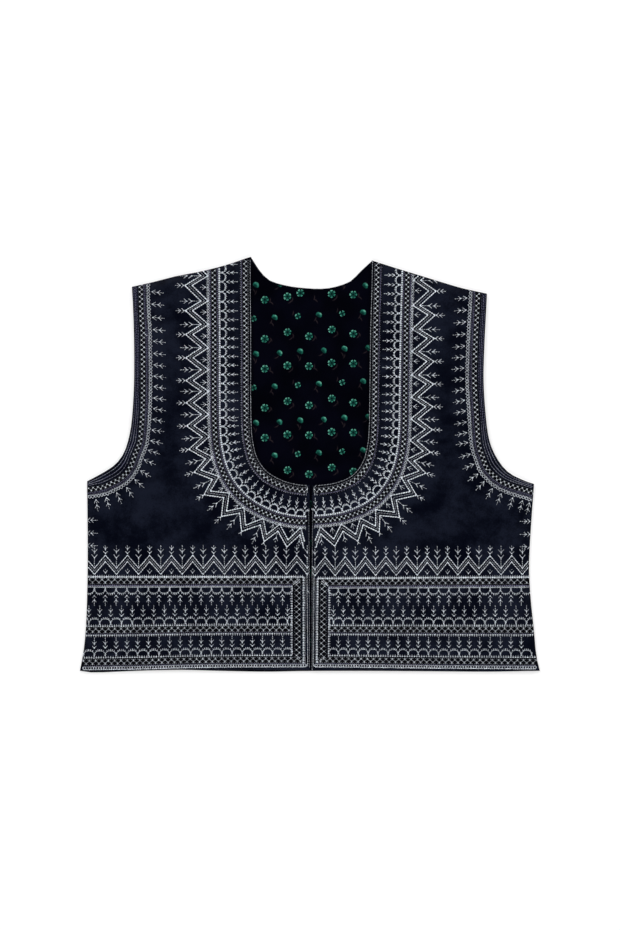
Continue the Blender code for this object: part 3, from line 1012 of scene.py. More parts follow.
def lay_stitches(needle):
    """One mesh of all the needle's stitches, with the two attributes that the thread reads."""
    rows, starts, ends = on_the_cloth(needle)
    count, run = len(rows), ends - starts
    length = np.linalg.norm(run, axis=1)
    aside = np.column_stack([-run[:, 1], run[:, 0], np.zeros(count)])
    aside /= np.linalg.norm(aside, axis=1)[:, None] + TINY
    wide = varied(rows[:, 4] * MM, 0.14)
    tall = varied(rows[:, 5] * MM, 0.20)
    along, across, up = STITCH.T
    places = (starts[:, None] + along[None, :, None] * run[:, None]
              + across[None, :, None] * (aside * wide[:, None])[:, None])
    places[:, :, 2] += up * tall[:, None] - SUNK * MM
    faces = STITCH_FACES + len(STITCH) * np.arange(count)[:, None, None]
    mesh = bpy.data.meshes.new(needle.name)
    mesh.from_pydata(places.reshape(-1, 3), [], faces.reshape(-1, 3))
    write_attribute(mesh, "tone", "FLOAT", np.repeat(drifting_tone(rows), len(STITCH)))
    strand = np.zeros((count, len(STITCH), 3))
    strand[:, :, 0] = along * length[:, None] / MM + rows[:, 0:1]
    strand[:, :, 1] = across * wide[:, None] / MM
    write_attribute(mesh, "strand", "FLOAT_VECTOR", strand)
    mesh.materials.append(THREADS[needle.thread])
    mesh.shade_smooth()
    piece = add_object(needle.name, mesh)
    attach(piece, "root")
    "thread_" + needle.thread
    print(f"{needle.name}: {count} stitches, {len(STITCH_FACES) * count} triangles")
    return piece


# %% [markdown]
# ## Motifs
# Folk embroidery is a handful of motifs on repeat. Each motif below is drawn in the measure
# of a guide, so the same few lines of code serve straight rows and bends alike. Teeth are
# the short threads that stand off a row, as in blanket stitch, and a picot row is a line
# whose every stitch ends in a tooth.

# %% Rows and teeth
TOOTH_HEIGHT = 0.4              # the teeth lie lower than the rows, millimetres


def row(guide, first, last, off):
    """A fine line of points along a guide's row, one for each millimetre."""
    count = max(2, int(abs(last - first)) + 1)
    return guide.at(np.linspace(first, last, count), off)


def teeth(needle, guide, first, last, off, to, pace, width, tone):
    """Short threads that stand side by side from `off` to `to`."""
    stops = guide.stops(first, last, (off + to) / 2, pace)
    needle.sew(guide.at(stops, off), guide.at(stops, to), width, TOOTH_HEIGHT, tone)


def picot(needle, guide, first, last, off, to, pace, width, tone, tooth_tone):
    """A line of stitches at `off`, each with a tooth on its middle that reaches `to`."""
    stops = guide.stops(first, last, off, pace)
    gap = np.diff(stops) * 0.14
    needle.sew(guide.at(stops[:-1] + gap, off), guide.at(stops[1:] - gap, off), width,
               height=0.55, tone=tone)
    middles = (stops[1:] + stops[:-1]) / 2
    needle.sew(guide.at(middles, off + 0.2 * (to - off)), guide.at(middles, to), width=0.75,
               height=TOOTH_HEIGHT, tone=tooth_tone)


# %% [markdown]
# A net is two sets of slanting threads that cross a strip in three steps. They are caught
# together in two rows of knots, half a pace apart, and end on the lines that bound the strip.
# The knots are bright and plump; the threads between them are drawn thin, so the dark cells
# stay open.

# %% Net
REACH = 0.80                    # how far the outer threads go towards the lines


def net(needle, guide, first, last, inner, knots, outer, pace, width=0.52, tone=0.44,
        edge_tone=0.30, knot=1.10, knot_tone=0.66, knot_reach=0.75):
    """Threads from `inner` to `outer`, crossing on the two rows of `knots`."""
    stops = guide.stops(first, last, sum(knots) / 2, pace)
    here, after = stops[:-1], stops[1:]
    midway = here + np.diff(stops) / 2
    for a, b in ((here, midway), (after, midway)):
        needle.sew(guide.at(a, knots[0]), guide.at(b, knots[1]), width, height=0.40, tone=tone)
        for start, end, off, to in ((a, b, knots[0], inner), (b, a, knots[1], outer)):
            reached = guide.at(start + (end - start) * REACH, off + (to - off) * REACH)
            needle.sew(guide.at(start, off), reached, width=0.85 * width, height=0.35,
                       tone=edge_tone)
    for places, off in ((stops, knots[0]), (midway, knots[1])):
        needle.sew(guide.at(places, off - knot_reach), guide.at(places, off + knot_reach),
                   width=knot, height=0.65, tone=knot_tone)


# %% [markdown]
# A braid is a pair of threads that swing across each other and leave a dark eyelet in every
# loop. Each loop is four slim stitches round a diamond, and a short one closes it. The swing
# is not the same in every loop, because a hand pulls one tighter than the next.

# %% Braid
def braid(needle, guide, first, last, off, half_width, pace, width, tone):
    """Two threads that part and meet again, once for each `pace`."""
    stops = guide.stops(first, last, off, pace)
    here, after = stops[:-1], stops[1:]
    middle = (here + after) / 2
    for way in (-1, 1):
        swing = off + way * half_width * (1 + 0.22 * np.sin(middle * (0.83 + 0.3 * way)))
        corner, meeting = guide.at(middle, swing), off + way * 0.10
        needle.sew(guide.at(here, meeting), corner, width, height=0.6, tone=tone)
        needle.sew(corner, guide.at(after, meeting), width, height=0.6, tone=tone)
    needle.sew(guide.at(stops, off - 0.5), guide.at(stops, off + 0.5), width, height=0.7,
               tone=tone)


# %% [markdown]
# A scallop is an arch between two joints, with teeth on its crown and a stem down each joint
# to the row it springs from. The arch is a little squarer than a half circle, so that a roomy
# dark D stays open inside.

# %% Scallops
TOOTH_SHARES = (-0.66, -0.33, 0.0, 0.33, 0.66)  # places on the crown, from joint to joint
SQUARE_ACROSS, SQUARE_UP = 0.62, 0.85           # 1 gives a half circle, less a squarer arch
ARCH_POINTS = 17


def scallops(needle, guide, joints, base, crown, width=0.90, tooth=2.0, tone=0.75, stem=0.8,
             stem_tone=0.9, wall=0.22):
    """Arches from the row `base` up to `crown`, their sides `wall` away from the joints."""
    joints = np.asarray(joints, float)
    turn = np.linspace(0, math.pi, ARCH_POINTS)
    swing = np.sign(np.cos(turn)) * np.abs(np.cos(turn)) ** SQUARE_ACROSS
    lift = np.sin(turn) ** SQUARE_UP
    away = math.copysign(1.0, crown - base)
    for start, end in zip(joints, joints[1:]):
        middle, half = (start + end) / 2, (end - start) / 2
        reach = np.linalg.norm(guide.at(end, crown) - guide.at(start, crown)) / 2
        spread = half * (1 - wall / max(2.0, reach))
        arch = guide.at(middle - swing * spread, base + lift * (crown - base))
        needle.line(arch, width, pitch=1.75, tone=tone, fill=0.80)
        for share in TOOTH_SHARES:
            rise = base + (crown - base) * (1 - abs(share) ** 2.4) ** 0.5
            foot = middle + share * half * 0.94
            tip = guide.at(foot + share * 0.10 * half, rise + away * tooth)
            needle.sew(guide.at(foot, rise), tip, width=0.80, height=TOOTH_HEIGHT,
                       tone=tone * 1.15)
    stem_end = base + (crown - base) * 0.70
    for joint in joints:
        needle.line(guide.at(joint, (base, stem_end)), stem, pitch=1.9, tone=stem_tone,
                    fill=0.85)


# %% [markdown]
# A sprig is a stem with chevrons on it, like an ear of corn. Each chevron is two fine
# stitches that meet at a point, and a plump little stitch catches them there, which is where
# the sprig is brightest. The stem is a row of short dull stitches. On a `bare` head it is
# left out beside the arms of the first chevron, so that the dark shows between them.

# %% Sprigs
SHORTEST_STEM = 1.5             # millimetres


def sprig(needle, guide, stop, head, tail, chevrons, spread, width=0.66, slant=0.0, tone=0.9,
          stem_tone=0.66, bare=True):
    """`chevrons` are (point, arms' ends) as distances off the guide, the head's one first."""
    def place(off, aside=0.0):
        share = (off - head) / (tail - head)
        step_out = np.linalg.norm(guide.at(stop + 1, off) - guide.at(stop, off))
        return guide.at(stop + (slant * share + aside) / step_out, off)

    for top, bottom in ((head, chevrons[0][0]), (chevrons[0][1 if bare else 0], tail)):
        if abs(bottom - top) > SHORTEST_STEM:
            needle.line(np.vstack([place(off) for off in np.linspace(top, bottom, 4)]),
                        width=0.75 if bare else 0.52, pitch=2.3, tone=stem_tone, fill=0.80)
    for point, arms in chevrons:
        outward = math.copysign(0.5, arms - point)
        for way in (-1, 1):
            needle.sew(place(point), place(arms, way * spread), width, tone=tone * 0.82)
        needle.sew(place(point - outward), place(point + 2.2 * outward), width=1.20,
                   height=0.65, tone=tone * 1.6)


# %% [markdown]
# The zigzag is three lines side by side: stout bright ones outside and inside, a thin dull
# one between, and dark satin in the gaps. The lines are the same zigzag pushed towards the
# guide, and a short stitch on every corner of the stout ones keeps it pointed.

# %% Zigzag
THIN_LINE = {"width": 0.55, "pitch": 2.9, "tone": 0.42, "fill": 0.92}


def zigzag(needle, guide, peaks, peak_off, valleys, valley_off, shifts, width, tone):
    """A line from peak to valley and on, repeated at each of the `shifts`."""
    stops = np.concatenate([peaks, valleys])
    offs = np.concatenate([np.broadcast_to(peak_off, len(peaks)),
                           np.broadcast_to(valley_off, len(valleys))])
    order = np.argsort(stops)
    stops, offs = stops[order], offs[order]
    stout_line = {"width": width, "pitch": 2.6, "tone": tone, "fill": 0.96}
    for number, shift in enumerate(shifts):
        corners = guide.at(stops, offs + shift)
        stout = number in (0, len(shifts) - 1)
        for corner_pair in zip(corners, corners[1:]):
            needle.line(corner_pair, **(stout_line if stout else THIN_LINE))
        if stout:
            needle.sew(guide.at(stops, offs + shift - 0.7), guide.at(stops, offs + shift + 0.4),
                       width, height=0.55, tone=tone)


print("motifs: teeth, picot, net, braid, scallops, sprig, zigzag")

# %% [markdown]
# ## Round the neck
# The rows keep their distance from the neck edge. On the band lie a fine bright line, a dull
# one, a net and a ladder that also holds the band down. On the satin follow sprigs that stand
# on the joints of a scalloped row, a chain, a net between grey lines, and a braided row with
# teeth. The stops are not evenly spaced: whoever stitched them drew them closer together
# round the bend.

# %% Stops round the neck
JOINTS = {
    "left": (8.0, 17.0, 26.8, 37.5, 48, 58, 67.5, 77.5, 88, 97.5, 107.5, 117, 127, 136.5, 146,
             155, 164.5, 173, 181.5, 189.5, 197.5, 204, 211, 217.5, 223.5, 229.5, 235.5, 241.5,
             247, 253.5, 260, 267, 274, 282),
    "right": (15.2, 25.5, 35.3, 46, 56, 65.9, 76, 86.2, 95.7, 105.5, 115.2, 125, 134.6, 144.1,
              153.3, 162.4, 171.2, 179.7, 187.9, 195.9, 202.9, 209.4, 215.9, 220.9, 226.9,
              232.9, 238.4, 244.4, 250.4, 256.9, 263.9, 271.4, 279.4),
}
PEAKS = {
    "left": (4, 30.5, 57, 83.5, 109, 133.5, 157, 179.5, 197.5, 211, 222.5, 234, 245.5, 258,
             271.5, 284.5),
    "right": (5, 31, 57, 83, 108, 132.4, 156.9, 179.4, 196.9, 209.4, 220.9, 231.9, 242.4,
              252.9, 266.9, 281.9),
}
VALLEYS = {
    "left": (-8, 20.5, 47, 72.5, 98, 122, 145, 169, 189.5, 205.5, 218, 228.5, 239.5, 252.5,
             264, 280),
    "right": (-8, 20, 47, 73, 97.5, 122.9, 146.9, 169.9, 189.4, 204.4, 216.4, 227.4, 237.9,
              247.4, 259.9, 276.4),
}


def sew_neck(side):
    """The rows on the satin; the numbers are distances from the neck edge."""
    guide, scale = neck_guides[side], ROW_SCALE[side]
    whole = 0, guide.length
    light, grey = needles_for(side, "neck")
    for joint in JOINTS[side]:
        sprig(light, guide, joint, head=25.4 * scale, tail=13.9 * scale,
              chevrons=((25.6 * scale, 22.6 * scale), (21.0 * scale, 18.2 * scale)),
              spread=1.85, width=0.75, stem_tone=0.9)
    first, last = JOINTS[side][0] - 10, JOINTS[side][-1] + 8
    scallops(light, guide, (first, *JOINTS[side], last), base=33.0 * scale, crown=27.5 * scale,
             width=1.05, tooth=1.7, tone=0.85, stem=1.2, stem_tone=1.0, wall=0.40)
    light.chain(row(guide, *whole, 34.1 * scale), width=2.3, pitch=2.43, tone=0.95)
    grey.line(row(guide, *whole, 36.2 * scale), width=1.1, tone=0.9)
    net(light, guide, *whole, inner=36.8 * scale, knots=(38.8 * scale, 41.4 * scale),
        outer=43.3 * scale, pace=5.02, width=0.45, tone=0.42, edge_tone=0.16, knot=1.45,
        knot_tone=1.1)
    grey.line(row(guide, *whole, 44.1 * scale), width=1.5)
    braid(light, guide, *whole, 46.1 * scale, half_width=1.25, pace=3.0, width=0.68, tone=0.80)
    teeth(light, guide, *whole, 46.6 * scale, 48.5 * scale, pace=3.0, width=0.7, tone=0.55)
    return light, grey


neck_needles = {side: sew_neck(side) for side in SIDES}
print("neck rows:", {side: len(needles[0].rows) for side, needles in neck_needles.items()})

# %% [markdown]
# Outside the braided row stands the zigzag. A small sprig sits inside each peak, a short one
# on the peak and a long one in each valley. Near the centre front the peaks crowd against
# the waist rows, so the last sprigs are smaller or missing.

# %% Zigzag round the neck
ZIGZAG_SCALE = {"left": 1.0, "right": 0.98}
PEAK_PLACES, PEAK_OFFS = (0, 200, 285), (71.4, 70.0, 68.6)  # the peaks come closer at the front
SMALL_ASIDE = {"left": 2.0, "right": 0.0}       # the sprigs inside the peaks sit off centre
LAST_TALL, LAST_SHORT, LAST_DEEP = 240, 262, 256    # where the sprigs change, along the edge


def sew_neck_zigzag(side, light):
    """The zigzag, with a sprig inside every peak, on it, and in every valley."""
    guide, scale = neck_guides[side], ZIGZAG_SCALE[side]
    peaks, valleys = np.array(PEAKS[side], float), np.array(VALLEYS[side], float)
    peak_off = np.interp(peaks, PEAK_PLACES, PEAK_OFFS) * scale
    zigzag(light, guide, peaks, peak_off, valleys, 54.0 * scale, shifts=(0.0, -4.0, -7.8),
           width=1.35, tone=1.25)
    for stop, off in zip(peaks[:-1], peak_off):
        sprig(light, guide, stop + SMALL_ASIDE[side], head=47.9 * scale, tail=55.0 * scale,
              chevrons=((48.9 * scale, 52.8 * scale),), spread=2.9, tone=0.85, stem_tone=0.85,
              bare=False)
        if stop < LAST_TALL:
            sprig(light, guide, stop, head=off + 1.6, tail=off + 10.8,
                  chevrons=((off + 1.2, off + 4.2), (off + 5.1, off + 8.3)), spread=2.6)
        elif stop < LAST_SHORT:
            sprig(light, guide, stop, head=off + 0.6, tail=off + 4.4,
                  chevrons=((off + 1.2, off + 3.8),), spread=1.8)
    for stop in valleys:
        if stop < LAST_DEEP:
            sprig(light, guide, stop, head=55.6 * scale, tail=76.9 * scale,
                  chevrons=((63.7 * scale, 67.6 * scale), (69.2 * scale, 72.6 * scale)),
                  spread=2.8)
        else:
            sprig(light, guide, stop, head=55.6 * scale, tail=66.5 * scale,
                  chevrons=((61.2 * scale, 64.6 * scale),), spread=2.4)


for side, (light, _) in neck_needles.items():
    sew_neck_zigzag(side, light)
print("zigzag:", {side: len(PEAKS[side]) for side in SIDES}, "peaks")

# %% [markdown]
# The band is its own piece of cloth, so its rows are a piece of their own as well. Its last
# stitches turn round the band's rounded end.

# %% Rows on the band
# fine line, dull line, the net's two rows of knots, and the ladder's middle
BAND_ROWS = {"left": (0.60, 3.0, (4.8, 7.5), 10.3), "right": (0.50, 3.0, (4.55, 7.25), 9.95)}
BAND_END = 2.3                  # the rows stop this far before the band's end, millimetres


def sew_band(side):
    """The rows on the band, and the last stitches round its end."""
    guide = neck_guides[side]
    fine, dull, knots, ladder = BAND_ROWS[side]
    light, grey = needles_for(side, "band")
    close = guide.length - BAND_END
    light.line(row(guide, 0, close - 0.7, fine), width=0.70, pitch=3.1, tone=0.46, fill=0.92)
    light.line(row(guide, 0, close - 0.7, dull), width=0.60, pitch=2.56, tone=0.26, fill=0.70)
    net(light, guide, 0, close, inner=knots[0] - 1.3, knots=knots, outer=knots[1] + 1.7,
        pace=5.12, width=0.48, tone=0.75, edge_tone=0.10, knot=1.25, knot_tone=1.2)
    grey.line(row(guide, 0, close + 0.8, ladder - 0.2), width=1.2, pitch=2.9, tone=0.8,
              fill=0.9)
    teeth(light, guide, 0, close, ladder - 1.2, ladder + 1.2, pace=2.45, width=0.95, tone=0.62)
    corner = ((close - 2, 1.0), (close - 0.6, 1.3), (close + 0.4, 2.4), (close + 0.6, 5.0),
              (close + 0.4, ladder - 1.6), (close - 0.4, ladder - 0.3))
    light.line(guide.at(*np.array(corner).T), width=0.80, pitch=1.7, tone=0.7)
    return light, grey


band_needles = {side: sew_band(side) for side in SIDES}
print("band rows:", {side: len(needles[0].rows) for side, needles in band_needles.items()})

# %% [markdown]
# ## Round the armholes
# The rows of an armhole follow its braid, which turns more gently than the edge. The fine
# lines between net and edge keep to their share of the space, so they spread in the bend,
# where a light thread is sewn over each of them.

# %% Rows round the armhole
ARM_SPRIGS = {
    "left": (9.5, 23, 37.5, 50.5, 63, 76, 88.5, 100.5, 112.1, 124.1, 135.6, 147.1, 158.6,
             169.8, 180.3, 191.1, 203.4, 214.1, 225.6, 237.1, 248.9, 259.9),
    "right": (4.5, 17.5, 30.5, 43.5, 56.5, 68.1, 80.1, 91.6, 103.1, 114.6, 126.1, 138.1,
              149.6, 160.1, 172.6, 183.7, 194.7, 204.7, 215.7, 226.2, 238.7, 249.7, 257.6),
}
# each fine line's share of the space from the edge to the net, its width and its tone
FINE_ROWS = ((0.26, 0.55, 1.0), (0.57, 0.75, 1.8), (0.86, 0.45, 0.9))
# the light thread over them: from and to along the row, and its tone
BEND_THREADS = ((138.0, 164.0, 0.14), (164.0, 400.0, 0.36))
NET_OUT = 12.1                  # from the braid to the outer side of the net, millimetres
PAST_START, PAST_END = 6, 4     # the rows run on past the braid's landmarks
LONG_HEADS = 150                # up to here the sprigs' heads lean aside


def sew_fine_rows(light, grey, guide, edge):
    """The fine lines between the net and the armhole's edge."""
    fine = np.arange(-8, guide.length + 8, 1.0)
    gap = np.array([np.linalg.norm(edge - point, axis=1).min() for point in guide.at(fine, 0)])
    for share, width, tone in FINE_ROWS:
        line = guide.at(fine, share * (gap - NET_OUT) - gap)
        grey.line(line, width, pitch=2.2 + share, tone=tone, fill=0.84)
        for low, high, bright in BEND_THREADS:
            light.line(line[(fine >= low) & (fine <= high)], width=0.55, pitch=2.4 + share,
                       tone=bright, fill=0.80)


def sew_armhole(side):
    """The rows of an armhole; the numbers are distances from its braid."""
    guide = braid_guides[side]
    whole = -PAST_START, guide.length + PAST_END
    light, grey = needles_for(side, "armhole")
    sew_fine_rows(light, grey, guide, Guide(ARMHOLE[side], 1).curve)
    net(light, guide, *whole, inner=-11.3, knots=(-9.75, -6.95), outer=-5.3, pace=5.2,
        width=0.46, tone=0.60, edge_tone=0.12, knot=1.35, knot_tone=1.2)
    grey.line(row(guide, *whole, -4.7), width=0.8, pitch=2.6, tone=1.1, fill=0.9)
    grey.line(row(guide, *whole, -3.2), width=0.5, pitch=2.3, tone=0.9, fill=0.9)
    light.line(row(guide, *whole, -1.8), width=0.70, pitch=2.7, tone=0.66, fill=0.85)
    braid(light, guide, *whole, -0.1, half_width=1.75, pace=3.3, width=0.60, tone=0.85)
    for stop in ARM_SPRIGS[side]:
        sprig(light, guide, stop, head=3.2, tail=16.8, chevrons=((3.6, 7.8), (9.8, 13.0)),
              spread=2.8, width=0.60, slant=1.9 if stop < LONG_HEADS else 0.5, stem_tone=0.85,
              bare=False)
    return light, grey


arm_needles = {side: sew_armhole(side) for side in SIDES}
print("armhole sprigs:", {side: len(ARM_SPRIGS[side]) for side in SIDES})

# %% [markdown]
# ## Waist and hem
# The hem is a bordered panel on each front. Its rows are listed by their drop below the top
# line. Above it stands a low zigzag with sprigs, and the panel is closed towards the centre
# front by an upright net between two lines.

# %% Rows of the waist
WAIST_VALLEYS = {
    "left": (-257.5, -233.8, -210.0, -186.1, -162.2, -139.0, -116.4, -93.5, -71.1, -48.8,
             -26.6, -4.1, 18.0),
    "right": (-17.5, 4.2, 26.1, 47.8, 69.7, 92.0, 114.7, 136.3, 158.5, 181.3, 205.1, 228.2,
              251.0),
}


def sew_waist(side):
    """The low zigzag and its sprigs, above the hem's top line."""
    guide = hem_guides[side]
    light = Needle(side, "waist", "light")
    valleys = np.array(WAIST_VALLEYS[side], float)
    peaks = (valleys[1:] + valleys[:-1]) / 2
    zigzag(light, guide, peaks, -23.0, valleys, -9.2, shifts=(0.0, 3.6, 6.8), width=1.05,
           tone=1.05)
    for stop in peaks:
        sprig(light, guide, stop, head=-23.9, tail=-34.0,
              chevrons=((-24.9, -27.6), (-29.5, -32.2)), spread=2.6)
        sprig(light, guide, stop, head=-3.9, tail=-8.6, chevrons=((-3.7, -7.0),), spread=2.5,
              tone=0.75)
    for stop in valleys:
        sprig(light, guide, stop, head=-10.6, tail=-34.2,
              chevrons=((-20.0, -24.0), (-26.2, -29.8)), spread=3.3)
        light.sew(guide.at(stop, -9.9), guide.at(stop, -8.2), width=1.2, height=0.6)
    return light,


waist_needles = {side: sew_waist(side) for side in SIDES}
print("waist zigzag:", {side: len(WAIST_VALLEYS[side]) for side in SIDES}, "valleys")

# %% [markdown]
# The joints of the hem's scallops close up towards one side, as they do when an odd width has
# to be filled. Their places are a short formula of the joint's number; the middle row stands
# half a step aside, which is the same formula between two numbers. The topmost net ends
# along the slanting line of a mitre.

# %% Rows of the hem
HEM_JOINTS = {"left": (-233.9, 11.83, -0.0302), "right": (29.5, 10.64, 0.0186)}
JOINT_COUNT = 19
HEM_INNER = {"left": -20.5, "right": 19.4}      # inner line of the upright net
HEM_SIDE = {"left": -246.0, "right": 243.0}     # past the side seam
NET_PACE = {"left": 6.85, "right": 6.70}
MITRE = (12.5, 9.6)                             # across and down, millimetres
MITRE_GAP = 1.3                                 # no net as near as this to the mitre's line
PICOT = {"pace": 2.5, "width": 1.4, "tone": 0.80, "tooth_tone": 0.60}
HEM_SPRIG = {"spread": 2.5, "tone": 0.80}


def hem_joint(side, number):
    """Across from the centre line to a scallop joint, millimetres."""
    start, pace, change = HEM_JOINTS[side]
    return start + pace * number + change * number ** 2


def below_mitre(points, corner):
    """How far points are below the mitre that slants down from a corner, in millimetres."""
    fall = np.abs(points[:, 0] - corner[0]) / MITRE[0] * MITRE[1]
    return corner[1] - points[:, 1] - fall


def sew_hem(side):
    """The bordered panel; the numbers are drops below its top line."""
    guide, inner, out = hem_guides[side], HEM_INNER[side], HEM_SIDE[side]
    light, grey = needles_for(side, "hem")
    low, high = sorted((inner, out))
    corner = guide.at(inner - SIGN[side] * MITRE[0], 0)[0]
    ends = sorted((corner[0], out))
    hem_net = {"pace": NET_PACE[side], "knot_reach": 1.30}
    picot(light, guide, *ends, 0.5, -1.9, pace=2.4, width=2.2, tone=0.95, tooth_tone=0.50)
    light.line(row(guide, *ends, 0.3), width=1.5, pitch=1.8, tone=0.62, fill=1.0)
    light.within = lambda points: below_mitre(points, corner) < -MITRE_GAP
    net(light, guide, *ends, inner=1.3, knots=(3.0, 6.5), outer=8.5, **hem_net)
    light.within = None
    grey.line(row(guide, low, high, 9.7), width=1.9)
    teeth(light, guide, low, high, 9.6, 12.3, pace=2.6, width=0.85, tone=0.60)
    light.line(row(guide, low, high, 11.4), width=1.1, pitch=2.6, tone=0.70)

    hanging = hem_joint(side, np.arange(-1.0, JOINT_COUNT + 1))
    halfway = hem_joint(side, np.arange(-1.0, JOINT_COUNT + 1) + 0.5)
    halfway = halfway[(halfway > low + 3) & (halfway < high - 3)]
    scallops(light, guide, hanging, base=11.8, crown=18.2, tone=0.73)
    for stop in hem_joint(side, np.arange(float(JOINT_COUNT))):
        sprig(light, guide, stop, head=20.3, tail=31.9, chevrons=((20.5, 23.1), (25.2, 27.8)),
              spread=2.4, tone=0.80)
        sprig(light, guide, stop, head=77.4, tail=65.4, chevrons=((77.4, 74.6), (72.9, 70.1)),
              **HEM_SPRIG)
    for stop in halfway:
        sprig(light, guide, stop, head=43.9, tail=30.9, chevrons=((42.9, 40.3), (38.1, 35.4)),
              **HEM_SPRIG)
    scallops(light, guide, (low, *halfway, high), base=52.4, crown=45.7, tone=0.74)
    picot(light, guide, low, high, 53.6, 51.6, **PICOT)
    net(light, guide, low, high, inner=54.5, knots=(56.3, 59.7), outer=61.9, **hem_net)
    grey.line(row(guide, low, high, 62.2), width=0.9, tone=0.8)
    picot(light, guide, low, high, 63.4, 65.4, **PICOT)
    scallops(light, guide, hanging, base=86.4, crown=80.2, tone=0.66)
    picot(light, guide, low, high, 87.7, 85.8, pace=2.6, width=1.3, tone=0.85, tooth_tone=0.50)
    net(light, guide, *ends, inner=89.1, knots=(90.8, 94.2), outer=96.0, **hem_net)
    return light, grey


hem_needles = {side: sew_hem(side) for side in SIDES}
print("hem rows:", {side: len(needles[0].rows) for side, needles in hem_needles.items()})

# %% [markdown]
# Along the foot of the panel runs a ladder, and it turns up into the lines of the centre
# front. The upright net beside them fills the panel's end, under a mitred corner that two
# crossed stitches mark.

# %% Ladder and centre front
FRAME_LINE = {"left": ((-8.0, 102.9), (-8.0, 8.4)), "right": ((7.2, 101.4), (6.3, 9.3))}
FOOT_TURN = {"left": ((-5.6, 5.7), (-4.2, 6.1), (-3.6, 7.4), (-3.9, 55.0), (-4.3, 105.0)),
             "right": ((4.4, 5.5), (3.0, 5.9), (2.3, 7.2), (2.8, 55.0), (3.3, 103.5))}
FRONT_EDGE = {"left": ((-2.6, 4.6), (-1.7, 6.0), (-1.9, 100), (-2.6, 186)),
              "right": ((1.7, 4.0), (1.2, 5.6), (1.3, 100), (1.9, 186))}
FRONT_EDGE_LENGTH = 185
FOOT_CORNER = {"left": -5.3, "right": 4.2}
MITRE_CROSS = (((3.9, -2.9), (11.6, -9.1)), ((9.4, -4.4), (6.4, -7.6)))


def sew_centre(side):
    """The ladder along the foot, the lines of the front edge and the upright net."""
    light, grey = needles_for(side, "centre")
    hem, out = hem_guides[side], HEM_SIDE[side]
    turn = np.array(FOOT_TURN[side])
    ends, foot = sorted((FOOT_CORNER[side], out)), sorted((turn[0, 0], out))
    grey.line(row(hem, *ends, 96.7), width=0.8, tone=1.2)
    light.line(row(hem, *ends, 97.5), width=0.7, pitch=2.8, tone=0.55, fill=0.9)
    teeth(light, hem, *ends, 97.4, 100.0, pace=2.8, width=1.05, tone=0.85)
    light.line(row(hem, *foot, 100.4), width=1.15, pitch=2.1, tone=0.90, fill=0.94)
    light.line(turn, width=0.85, pitch=1.9, tone=0.64, fill=0.94)
    edge = Guide(FRONT_EDGE[side], 1, soften=2.0).at(np.arange(0, FRONT_EDGE_LENGTH, 1.0), 0)
    light.line(edge, width=0.50, pitch=2.9, tone=0.30, fill=0.92)

    post = Guide(FRAME_LINE[side], SIGN[side])
    light.chain(row(post, 0, post.length, 0.0), width=2.4, pitch=2.7, tone=0.76)
    light.line(row(post, 0, post.length, -1.9), width=0.5, pitch=2.7, tone=0.26, fill=0.92)
    picot(light, post, 9.5, 85.3, 12.6, 14.5, pace=2.6, width=1.5, tone=0.75, tooth_tone=0.50)
    corner = hem.at(FRAME_LINE[side][0][0], 0)[0]
    light.within = lambda points: below_mitre(points, corner) > MITRE_GAP
    net(light, post, 0, 88, inner=1.9, knots=(4.5, 7.7), outer=11.2, pace=6.0, width=0.50,
        tone=0.52, edge_tone=0.22, knot=1.15, knot_tone=1.0, knot_reach=0.7)
    light.within = None
    for stitch in MITRE_CROSS:
        light.line(np.array(stitch) * (SIGN[side], 1) + corner, width=0.85, pitch=2.6,
                   fill=0.92)
    return light, grey


centre_needles = {side: sew_centre(side) for side in SIDES}
print("centre rows:", {side: len(needles[0].rows) for side, needles in centre_needles.items()})

# %% [markdown]
# Three more sprigs stand against each side seam, between the armhole and the waist. They
# point into the seam, and the outer one of their chevrons is caught in it.

# %% Sprigs at the side seams
SEAM_SPRIGS = {"left": (163.6, 149.7, 136.2), "right": (162.5, 148.5, 135.1)}
SEAM_TAIL = {"left": -229.8, "right": 224.9}
HALF_GUIDE = 10                 # millimetres
for side, (light,) in waist_needles.items():
    tail = SEAM_TAIL[side]
    for up in SEAM_SPRIGS[side]:
        upright = Guide(((tail, up - HALF_GUIDE), (tail, up + HALF_GUIDE)), -SIGN[side])
        sprig(light, upright, HALF_GUIDE, head=11.6, tail=0,
              chevrons=((11.4, 8.6), (7.6, 4.7)), spread=2.8)
print("sprigs at the seams:", {side: len(SEAM_SPRIGS[side]) for side in SIDES})

# %% [markdown]
# Worn embroidery has loose ends. A few stand off the rows, each a short bent thread.

# %% Loose ends
LOOSE_ENDS = (((-179.4, 364.9), (-177.8, 363.2), (-176.2, 363.4)),
              ((-74.9, 265.6), (-73.8, 263.4), (-74.5, 261.0)),
              ((-88.6, 272.4), (-84.0, 270.9), (-79.4, 271.3)),
              ((-4.6, 88.2), (-3.0, 86.9), (-1.6, 85.0)))
for bends in LOOSE_ENDS:
    waist_needles["left"][0].line(bends, width=0.8, pitch=1.6, tone=0.95, fill=0.95)
print("loose ends:", len(LOOSE_ENDS))

# %% [markdown]
# ## Laying the stitches
# Every needle is now turned into one mesh. The stitches of a front lie on its own cloth and
# band, and they are gathered in a list for that front.

# %% Lay them all
embroidery = {side: [] for side in SIDES}
for part in (neck_needles, band_needles, arm_needles, waist_needles, hem_needles,
             centre_needles):
    for side, needles in part.items():
        embroidery[side] += [lay_stitches(needle) for needle in needles]
total = sum(len(piece.data.polygons) for pieces in embroidery.values() for piece in pieces)
print(f"embroidery: {total} triangles in all")

# %% [markdown]
# ## Floor and light
# The vest lies on a plain pale floor. Satin is dark because it mirrors what is opposite, so
# the light comes in low from the sides and the room overhead is dim; a lamp overhead would
# turn the black to grey. Three broad suns keep the floor even, the one from the upper left
# a little stronger, which models the stitches.

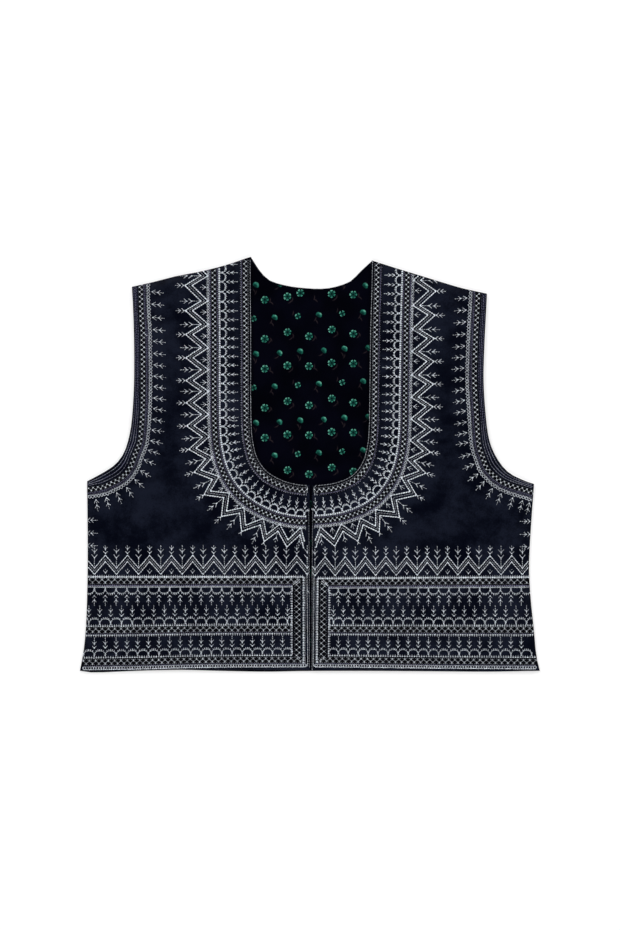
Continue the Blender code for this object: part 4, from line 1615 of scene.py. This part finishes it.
# %% Floor
FLOOR_RADIUS, FLOOR_DROP = 14.0, 0.0002         # metres
PAPER = ((0.47, 0.47, 0.47), (0.49, 0.49, 0.49))

floor_mesh = bpy.data.meshes.new("floor")
bm = bmesh.new()
bmesh.ops.create_circle(bm, cap_ends=True, segments=96, radius=FLOOR_RADIUS)
bm.to_mesh(floor_mesh)
bm.free()
floor_mesh.transform(Matrix.Translation((0, 0, -FLOOR_DROP)))
paper = Finish("floor_paper", Roughness=0.9, Specular_IOR_Level=0.1,
               Emission_Color=(1, 1, 1, 1), Emission_Strength=0.55)
tint = noise(paper, place_mm(paper), 160.0)
floor_mesh.materials.append(paper.shade(Base_Color=blend(paper, tint, *PAPER)))
floor = add_object("floor", floor_mesh)
print("floor:", 2 * FLOOR_RADIUS, "m across")

# %% [markdown]
# The dim room is a ramp on the height of the sky: pale along the horizon, dark overhead. A
# sun's angle is its width in the sky, and a wide one gives soft shadows.

# %% Light
ROOM = ((0.30, (0.85, 0.85, 0.86, 1)), (0.80, (0.05, 0.05, 0.055, 1)))
Sun = namedtuple("Sun", "name azimuth height strength angle")   # angles in degrees
SUNS = (Sun("upper_left", 135, 42, 1.68, 34), Sun("upper_right", 40, 40, 1.14, 40),
        Sun("below", 270, 40, 1.03, 46))

world = bpy.data.worlds.new("room")
bpy.context.scene.world = world
world.use_nodes = True
room = world.node_tree
sky = room.nodes.new("ShaderNodeTexCoord")
split = room.nodes.new("ShaderNodeSeparateXYZ")
ramp = room.nodes.new("ShaderNodeValToRGB")
for stop, (place, colour) in zip(ramp.color_ramp.elements, ROOM):
    stop.position, stop.color = place, colour
room.links.new(sky.outputs["Generated"], split.inputs[0])
room.links.new(split.outputs["Z"], ramp.inputs[0])
room.links.new(ramp.outputs[0], room.nodes["Background"].inputs["Color"])
for sun in SUNS:
    lamp = bpy.data.lights.new(sun.name, "SUN")
    lamp.energy, lamp.angle = sun.strength, math.radians(sun.angle)
    a, e = math.radians(sun.azimuth), math.radians(sun.height)
    towards = Vector((math.cos(a) * math.cos(e), math.sin(a) * math.cos(e), math.sin(e)))
    shining = add_object(sun.name, lamp)
    shining.rotation_mode = "QUATERNION"
    shining.rotation_quaternion = towards.to_track_quat("Z", "Y")
bpy.context.scene.view_settings.view_transform = "Standard"
print("lit by", len(SUNS), "suns and a dim room")
